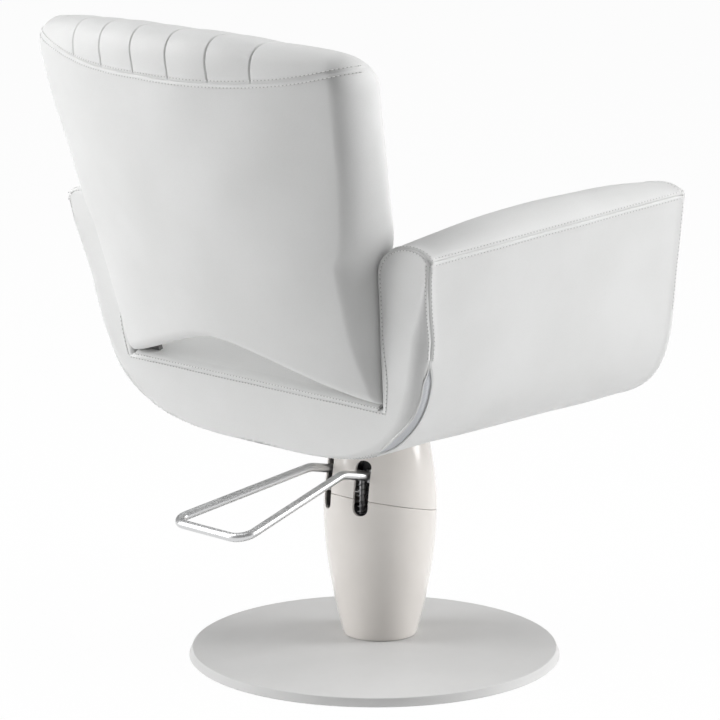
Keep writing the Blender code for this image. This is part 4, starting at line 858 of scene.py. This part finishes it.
def back_level(x, z):
    """The level at which the backrest's surface passes a height, from the quadratic of its top's droop."""
    rise, droop = z - BACK_FOOT, BACK_DROOP * (x / CHANNEL_REACH) ** 2
    arch = back_arch(x)
    slope = BACK_HEIGHT - arch
    return 2.0 * (rise - arch) / (slope + np.sqrt(slope**2 - 4.0 * droop * (rise - arch)))


def channel_fall(x):
    """How far the cover falls towards the channel seams: a broad quilted dip with a narrow crease in it."""
    dip = np.abs(np.sin(math.pi * x / CHANNEL)) ** 2.4
    to_seam = (np.abs(x) / CHANNEL - np.floor(np.abs(x) / CHANNEL) - 0.5) * CHANNEL
    fall = CHANNEL_DIP * dip + CREASE_DEPTH * notch(to_seam, CREASE_WIDTH)
    return np.where(np.abs(x) <= CHANNEL_REACH, fall, 0.0)


def back_columns(level):
    """Places across the backrest at each level: bunched at the channel seams, then out to its sides."""
    near = np.array([0.0, 0.0004, 0.0009, 0.0015, 0.0023, 0.0035, 0.0055, 0.009, 0.014, 0.020, 0.027])
    seams = CHANNEL * (np.arange(3)[:, None] + 0.5)
    inside = np.concatenate([(seams + near).ravel(), (seams - near).ravel(), CHANNEL * np.arange(4)])
    inside = np.unique(np.round(inside, 5))
    reach = np.linspace(0.0, 1.0, 9)[None, 1:]
    edge = 1.0 - np.sin(np.linspace(0.0, math.pi / 2, 23)[None, 1:]) ** 0.9
    half = back_half(level)
    span = np.minimum(BACK_REAR_ROUND, half - CHANNEL_REACH - 0.006)
    outer = [CHANNEL_REACH + (half - span - CHANNEL_REACH) * reach, half - span * edge]
    right = np.concatenate([np.repeat(inside[None, :], len(level), axis=0)] + outer, axis=1)
    return np.concatenate([-right[:, :0:-1], right], axis=1)


def back_levels():
    """Levels up the backrest: close together round the foot, at the rear seam and over the top roll."""
    foot = BACK_FOOT_ROUND / BACK_HEIGHT
    last = 1.0 - BACK_ROLL / BACK_HEIGHT
    low = foot * (1.0 - np.cos(np.linspace(0.0, math.pi / 2, 12)))
    top = last + (1.0 - last) * np.sin(np.linspace(0.0, math.pi / 2, 56)[1:])
    parts = [low, np.linspace(foot, 0.835, 46)[1:], np.linspace(0.835, last, 38)[1:], top]
    return np.concatenate(parts)[:, None]


def make_back_cover():
    """The backrest: front and rear joined round the sides, channel creases and a groove below the roll."""
    level = back_levels()
    x = back_columns(level)
    front, rear = back_surface(x, level, False), back_surface(x, level, True)
    points = np.concatenate([front, rear[:, -2:0:-1]], axis=1)
    normals = grid_normals(points)
    centre = points.mean(axis=1, keepdims=True)
    centre[..., 0] = 0.0
    if np.sum(normals[60] * (points[60] - centre[60])) < 0:
        normals = -normals
    normals[0], normals[-1] = (0.0, 0.0, -1.0), (0.0, 0.0, 1.0)
    count, turn = x.shape[1], 14
    on_rear = np.zeros(points.shape[1])
    on_rear[count:] = 1.0
    on_rear[:turn] = ease(turn, 0, np.arange(turn))
    on_rear[count - turn:count] = on_rear[:turn][::-1]
    from_seam = points[..., 2] - back_seam(points[..., 0])
    above = 1.0 - on_rear * (1.0 - ease(-0.0005, 0.004, from_seam))
    fall = channel_fall(points[..., 0]) * above * ease(0.0, 0.06, level)
    groove = seam_groove(from_seam) * on_rear * (1.0 - 0.7 * ease(0.22, 0.28, np.abs(points[..., 0])))
    points = points + normals * (ripple(points, *BACK_WAVE) - groove - fall)[..., None]
    cover = ringed_piece("back_cover", points, FINISHES["leatherette"])
    dress(cover, "seat", "leatherette", "back_pad")


def back_seam_rows():
    """Two rows along the rear seam, an offset above and below it, from side to side."""
    rows = []
    for shift in (-ROW_OFFSET, ROW_OFFSET):
        x = np.linspace(-BACK_ROW_REACH, BACK_ROW_REACH, 340)
        level = back_level(x, back_seam(x) + shift)
        row = surface_at(lambda a, b: back_surface(a, b, True), x, level, (0.0, 0.3, 0.75))
        path, normals = on_cover(row, BACK_WAVE)
        fall = channel_fall(path[:, 0]) * (shift > 0)
        rows.append((path - normals * fall[:, None], normals))
    return rows


# The seat cushion

def cushion_points():
    """Sections along the cushion: a round shoulder at the rear, a crowned top, a rounded nose, flat below."""
    bend = np.linspace(0.0, math.pi / 2, 9)
    start, low = CUSHION_REAR - CUSHION_SHOULDER, FLOOR_Z + 0.0006
    share = np.linspace(0.0, 1.0, 58)[1:]
    round_y = start + CUSHION_SHOULDER * np.cos(bend)
    y = np.concatenate([round_y, start + (CUSHION_FRONT - start) * share])[:, None]
    part = np.concatenate([0.0 * bend, share])[:, None]
    round_top = np.concatenate([np.sin(bend), 1.0 + 0.0 * share])[:, None]
    shoulder = CUSHION_SEAM_Z + CUSHION_SHOULDER * round_top
    climb = 1.0 - (1.0 - np.minimum(1.0, part / 0.45)) ** 2.2
    nose = np.maximum(0.0, (part - 0.86) / 0.14)
    body = shoulder + (FLOOR_Z + CUSHION_CROWN - CUSHION_SEAM_Z - CUSHION_SHOULDER) * climb
    under = low + (CUSHION_SEAM_Z - low) * ease(0.222, 0.234, y)
    crown = (body - under) * np.sqrt(np.maximum(0.0, 1.0 - 0.72 * nose**2))
    across = np.linspace(-1.0, 1.0, 61)[None, :]
    half = FLOOR_HALF - CUSHION_SIDE_GAP
    edge = np.minimum(CUSHION_EDGE, 0.75 * crown)
    lift = edge + (crown - edge) * (1.0 - np.abs(across) ** 2.6)
    top = points_of(half * across, y, under + lift)
    base = points_of((half - 0.004) * across[:, ::-1], y, under + 0.0 * across)
    return np.concatenate([top, base], axis=1)


def make_seat_top():
    """The seat cushion: its sections blown up a little as cloth, held at the floor and at the rear seam."""
    points = cushion_points()
    ends = [np.repeat(points[k].mean(axis=0)[None, None], points.shape[1], axis=1) for k in (0, -1)]
    flat = points[:1] * [1.0, 0.0, 0.0] + ends[0] * [0.0, 1.0, 1.0]
    top = ringed_piece("seat_top", np.concatenate([flat, points[1:], ends[1]]), FINISHES["leatherette"])
    blow_up(top, 0.004)
    smooth = top.modifiers.new("smooth", "SUBSURF")
    smooth.levels = smooth.render_levels = 1
    dress(top, "seat", "leatherette", "seat_cushion")


def blow_up(piece, cap):
    """20 frames of cloth under pressure, the underside and rear seam pinned; no point moves past the cap."""
    count = len(piece.data.vertices)
    rest = np.empty(count * 3)
    piece.data.vertices.foreach_get("co", rest)
    rest = rest.reshape(-1, 3)
    pinned = (rest[:, 2] < FLOOR_Z + 0.001) | (rest[:, 1] > 0.215)
    held = piece.vertex_groups.new(name="held")
    held.add(np.flatnonzero(pinned).tolist(), 1.0, "REPLACE")
    cloth = piece.modifiers.new("cloth", "CLOTH")
    cloth.settings.use_pressure = True
    cloth.settings.uniform_pressure_force = 4.0
    cloth.settings.vertex_group_mass = "held"
    cloth.settings.effector_weights.gravity = 0.0
    for number in range(1, 21):
        bpy.context.scene.frame_set(number)
    applied(piece)
    moved = np.empty(count * 3)
    piece.data.vertices.foreach_get("co", moved)
    shift = moved.reshape(-1, 3) - rest
    length = np.linalg.norm(shift, axis=1, keepdims=True)
    settled = rest + shift * np.minimum(1.0, cap / np.maximum(length, 1e-9))
    limit = FLOOR_HALF - 0.0008
    settled[:, 0] = np.clip(settled[:, 0], -limit, limit)
    piece.data.vertices.foreach_set("co", settled.ravel())
    piece.data.polygons.foreach_set("use_smooth", np.ones(len(piece.data.polygons), dtype=bool))
    piece.data.update()
    bpy.context.scene.frame_set(1)


# Column covers, lever and disc

def cover_radius(height):
    """The barrel's outer radius: a power curve falling from the waist to the foot and to the top."""
    below = np.clip((COVER_WAIST - height) / (COVER_WAIST - COVER_FOOT), 0.0, 1.0)
    above = np.clip((height - COVER_WAIST) / (COVER_TOP - COVER_WAIST), 0.0, 1.0)
    fall = (COVER_WAIST_RADIUS - COVER_FOOT_RADIUS) * below**COVER_BULGE
    return COVER_WAIST_RADIUS - fall - (COVER_WAIST_RADIUS - COVER_TOP_RADIUS) * above**COVER_BULGE


def cover_points(part):
    """A shell of the barrel: outer wall up, rounded lip, inner wall down, with a sloped parting."""
    turn = np.linspace(0.0, 2 * math.pi, 144, endpoint=False)[None, :]
    parting = SPLIT_Z + SPLIT_SLOPE * COVER_WAIST_RADIUS * np.sin(turn)
    low = np.full_like(parting, COVER_FOOT) if part == "lower" else parting + SPLIT_GAP
    high = parting - SPLIT_GAP if part == "lower" else np.full_like(parting, COVER_TOP)
    bend = np.linspace(0.0, math.pi / 2, 5)[:, None]
    lip_z, lip_in = COVER_LIP * (1.0 - np.sin(bend)), COVER_LIP * (1.0 - np.cos(bend))
    rise = np.linspace(0.0, 1.0, 44)[1:-1, None]
    wall = low + COVER_LIP + (high - low - 2 * COVER_LIP) * rise
    heights = np.concatenate([low + lip_z[::-1], wall, high - lip_z])
    insets = np.concatenate([lip_in[::-1], 0.0 * rise, lip_in])
    radii = cover_radius(heights) - insets
    roof = high - COVER_WALL if part == "upper" else high
    down = roof + (low - roof) * np.linspace(0.0, 1.0, 14)[:, None]
    if part == "upper":
        mouth = np.full_like(high, COVER_MOUTH)
        heights, radii = np.concatenate([heights, high, roof]), np.concatenate([radii, mouth, mouth])
    heights = np.concatenate([heights, down])
    radii = np.concatenate([radii, cover_radius(down) - COVER_WALL])
    return points_of(radii * np.cos(turn), radii * np.sin(turn), heights)


def slot_blank(side):
    """A round-ended upright bar, an outline of two half circles carried along Y, to cut a lever slot with."""
    turn = np.linspace(0.0, math.pi, 17)
    top, low = SLOT_HIGH - SLOT_HALF, SLOT_LOW + SLOT_HALF
    x = np.concatenate([np.cos(turn), -np.cos(turn)]) * SLOT_HALF + side * SLOT_X
    z = np.concatenate([top + SLOT_HALF * np.sin(turn), low - SLOT_HALF * np.sin(turn)])
    rings = np.stack([points_of(x, y, z) for y in (0.030, 0.140)])
    return ringed_piece(f"slot_blank_{side:+d}", shut(rings), FINISHES["steel"])


def make_covers():
    """Both gloss shells, with the lever's two slots cut through them."""
    blanks = [slot_blank(side) for side in (-1, 1)]
    for part in ("lower", "upper"):
        points = cover_points(part)
        faces = grid_faces(len(points), points.shape[1], close_rows=True, close_columns=True)
        shell = mesh_piece(f"{part}_shell", points, faces, FINISHES["ivory_plastic"])
        for blank in blanks:
            cut = shell.modifiers.new("slot", "BOOLEAN")
            cut.operation, cut.object, cut.solver = "DIFFERENCE", blank, "EXACT"
        applied(shell)
        shell.data.materials.clear()
        shell.data.materials.append(FINISHES["ivory_plastic"])
        shell.data.polygons.foreach_set("material_index", np.zeros(len(shell.data.polygons), dtype=np.int32))
        shell.data.set_sharp_from_angle(angle=math.radians(35))
        dress(shell, "pump", "ivory_plastic", f"{part}_cover")
    for blank in blanks:
        bpy.data.objects.remove(blank)


def rounded_path(corners, radii, steps):
    """A polyline whose inner corners are arcs: each arc's points lie on a circle tangent to both legs."""
    points = [corners[0]]
    for before, here, after, radius in zip(corners[:-2], corners[1:-1], corners[2:], radii):
        into, out = unit(here - before), unit(after - here)
        angle = math.acos(float(np.clip(into @ out, -1.0, 1.0)))
        reach = radius * math.tan(angle / 2)
        centre = here + unit(out - into) * radius / math.cos(angle / 2)
        start, side = here - into * reach - centre, into * radius
        turn = np.linspace(0.0, angle, steps)[:, None]
        points += list(centre + start * np.cos(turn) + side * np.sin(turn))
    return np.array(points + [corners[-1]])


def make_lever():
    """The bent chrome bar: out of one hub, down to the far bar, across and back into the other hub."""
    way = np.array([0.0, math.cos(STUB_TILT), math.sin(STUB_TILT)])
    hub = np.array([-SLOT_X, 0.0, PIVOT_Z])
    far = np.array([-FAR_SPREAD, FAR_REACH, PIVOT_Z - FAR_DROP])
    right = [hub + STUB_START * way, hub + STUB_END * way, far]
    left = [point * MIRROR for point in reversed(right)]
    path = rounded_path(right + left, [BEND_RADIUS, CORNER_RADIUS, CORNER_RADIUS, BEND_RADIUS], 14)
    bar = ringed_piece("lever_bar", tube(path, ROD_RADIUS, 32), FINISHES["chrome"])
    bar.data.set_sharp_from_angle(angle=math.radians(50))
    dress(bar, "lever", "chrome", "lever_rod")


def make_spring():
    """The plunger's return spring: a wire carried along a screw line; it shortens as the lever is pressed."""
    low, high = (np.array(corner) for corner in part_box("plunger_spring"))
    middle, length = 0.5 * (low + high), high[2] - low[2]
    turn = np.linspace(0.0, 2 * math.pi * SPRING_TURNS, 24 * SPRING_TURNS + 1)
    height = np.linspace(low[2] + SPRING_WIRE, high[2] - SPRING_WIRE, len(turn))
    path = points_of(SPRING_RADIUS * np.cos(turn), middle[1] + SPRING_RADIUS * np.sin(turn), height)
    spring = ringed_piece("return_spring", tube(path, SPRING_WIRE, 8), FINISHES["steel"])
    dress(spring, "pump", "steel", "plunger_spring")
    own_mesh(spring)


def make_disc():
    """The floor disc: a profile with a rounded top edge and a tapered rim, turned about its own middle."""
    bend = np.linspace(0.0, math.pi / 2, 7)
    rim_r = DISC_RADIUS - DISC_TAPER - DISC_EDGE * (1.0 - np.cos(bend))
    rim_z = DISC_TOP - DISC_EDGE * (1.0 - np.sin(bend))
    top_r = [0.20, 0.14, 0.08, 0.0]
    radius = np.concatenate([[0.0, DISC_RADIUS - 0.001, DISC_RADIUS], rim_r, top_r])[:, None]
    height = np.concatenate([[DISC_LOW, DISC_LOW, DISC_LOW + 0.001], rim_z, np.full(4, DISC_TOP)])[:, None]
    turn = np.linspace(0.0, 2 * math.pi, 256, endpoint=False)[None, :]
    points = points_of(DISC_X + radius * np.cos(turn), DISC_Y + radius * np.sin(turn), height)
    disc = ringed_piece("floor_disc", points, FINISHES["powder_coat"])
    disc.data.set_sharp_from_angle(angle=math.radians(40))
    dress(disc, "base", "powder_coat", "base_disc")


# Stage, light and camera

LAMPS = [("left_low", 86.0, 12.0, 80.0), ("left_high", 88.0, 45.0, 68.0), ("right_low", -94.0, 12.0, 103.0),
         ("right_high", -88.0, 45.0, 68.0), ("far", 180.0, 45.0, 6.0), ("top", 0.0, 80.0, 26.0)]
LAMP_SIZE, LAMP_DISTANCE, LAMP_AIM = 2.2, 4.0, Vector((0.0, 0.05, 0.5))
WORLD_LIGHT, WORLD_GLOSS, FLOOR_REACH = 0.04, 0.30, 60.0


def floor_finish():
    """A white floor: diffuse for light and shadow, mostly plain white to the camera and to reflections."""
    floor = Finish("floor_white", {})
    nodes = floor.tree.nodes
    nodes.remove(floor.shader)
    rays = [floor.node("ShaderNodeLightPath", output=name)
            for name in ("Is Camera Ray", "Is Glossy Ray", "Is Transmission Ray")]
    seen = rays[0].math("MAXIMUM", rays[0], rays[0].math("MAXIMUM", rays[1], rays[2]))
    matt = floor.node("ShaderNodeBsdfDiffuse", None, {"Color": (0.90, 0.90, 0.90, 1.0)})
    glow = floor.node("ShaderNodeEmission", None, {"Color": (1.0, 1.0, 1.0, 1.0), "Strength": 1.0})
    blend = floor.node("ShaderNodeMixShader", None, {0: 0.97 * seen, 1: matt, 2: glow})
    floor.feed(nodes["Material Output"].inputs["Surface"], blend)
    return floor.material


def make_stage():
    """A wide floor under the chair; the camera looks down on it over the whole frame."""
    corners = np.array([[-1, -1, 0], [1, -1, 0], [1, 1, 0], [-1, 1, 0]]) * FLOOR_REACH
    floor = mesh_piece("floor", corners, np.array([[0, 1, 2, 3]]), floor_finish())


def area_light(name, swing, height, power):
    """A round soft lamp aimed at the chair; its swing counts from the camera to the picture's left."""
    turn, rise = math.radians(135.0 - swing), math.radians(height)
    way = Vector((math.cos(rise) * math.cos(turn), math.cos(rise) * math.sin(turn), math.sin(rise)))
    light = bpy.data.lights.new(name, "AREA")
    light.shape, light.size, light.energy = "DISK", LAMP_SIZE, power
    lamp = bpy.data.objects.new(name, light)
    bpy.context.scene.collection.objects.link(lamp)
    lamp.location = LAMP_AIM + way * LAMP_DISTANCE
    lamp.rotation_euler = (-way).to_track_quat("-Z", "Y").to_euler()


def make_light():
    """Soft lamps left, right, above and beyond the chair, and a faint world that is grey in reflections."""
    world = bpy.data.worlds.new("studio")
    bpy.context.scene.world = world
    world.use_nodes = True
    sky = world.node_tree.nodes["Background"]
    sky.inputs["Color"].default_value = (1.0, 1.0, 1.0, 1.0)
    rays = world.node_tree.nodes.new("ShaderNodeLightPath")
    gain = world.node_tree.nodes.new("ShaderNodeMath")
    gain.operation = "MULTIPLY_ADD"
    gain.inputs[1].default_value, gain.inputs[2].default_value = WORLD_GLOSS, WORLD_LIGHT
    world.node_tree.links.new(rays.outputs["Is Glossy Ray"], gain.inputs[0])
    world.node_tree.links.new(gain.outputs[0], sky.inputs["Strength"])
    for lamp in LAMPS:
        area_light(*lamp)


def make_camera():
    """A long lens behind the chair on its right, at the photograph's angle."""
    azimuth, pitch, yaw = math.radians(44.9), math.radians(12.34), math.radians(-0.3)
    distance, height = 5.256, 1.542
    place = Vector((-math.sin(azimuth) * distance, math.cos(azimuth) * distance, height))
    ahead = Vector((math.sin(azimuth), -math.cos(azimuth), 0.0))
    right = Vector((-math.cos(azimuth), -math.sin(azimuth), 0.0))
    level = math.cos(yaw) * ahead + math.sin(yaw) * right
    side = math.cos(yaw) * right - math.sin(yaw) * ahead
    up = Vector((0.0, 0.0, 1.0))
    look = math.cos(pitch) * level - math.sin(pitch) * up
    top = math.cos(pitch) * up + math.sin(pitch) * level
    data = bpy.data.cameras.new("photo_camera")
    data.sensor_width, data.lens, data.clip_end = 36.0, 200.0, 100.0
    camera = bpy.data.objects.new("photo_camera", data)
    bpy.context.scene.collection.objects.link(camera)
    turn = Matrix((side, top, -look)).transposed().to_4x4()
    turn.translation = place
    camera.matrix_world = turn
    bpy.context.scene.camera = camera


# All together

def dress_cad_nodes():
    """Gives every carried-over CAD node the finish of its slot; the back struts get a dark grey that is
    painted shade for the gap under the backrest.
    """
    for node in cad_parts.values():
        slots = [slot.material.name.split(".")[0] for slot in node.material_slots if slot.material]
        finish = FINISHES["strut_painted_shade" if node.name.startswith("back_strut") else slots[0]]
        for slot in node.material_slots:
            slot.material = finish


make_camera()
make_stage()
make_light()
dress_cad_nodes()
make_tub_cover()
make_back_cover()
make_seat_top()
make_zips()
stitch_rows("arm_seam", arm_seam_rows(), "seat")
stitch_rows("end_seam", end_seam_rows(), "seat")
stitch_rows("panel_seam", panel_rows(), "seat")
stitch_rows("back_seam", back_seam_rows(), "seat")
make_covers()
make_lever()
make_spring()
make_disc()
bpy.context.scene.view_settings.view_transform = "Standard"
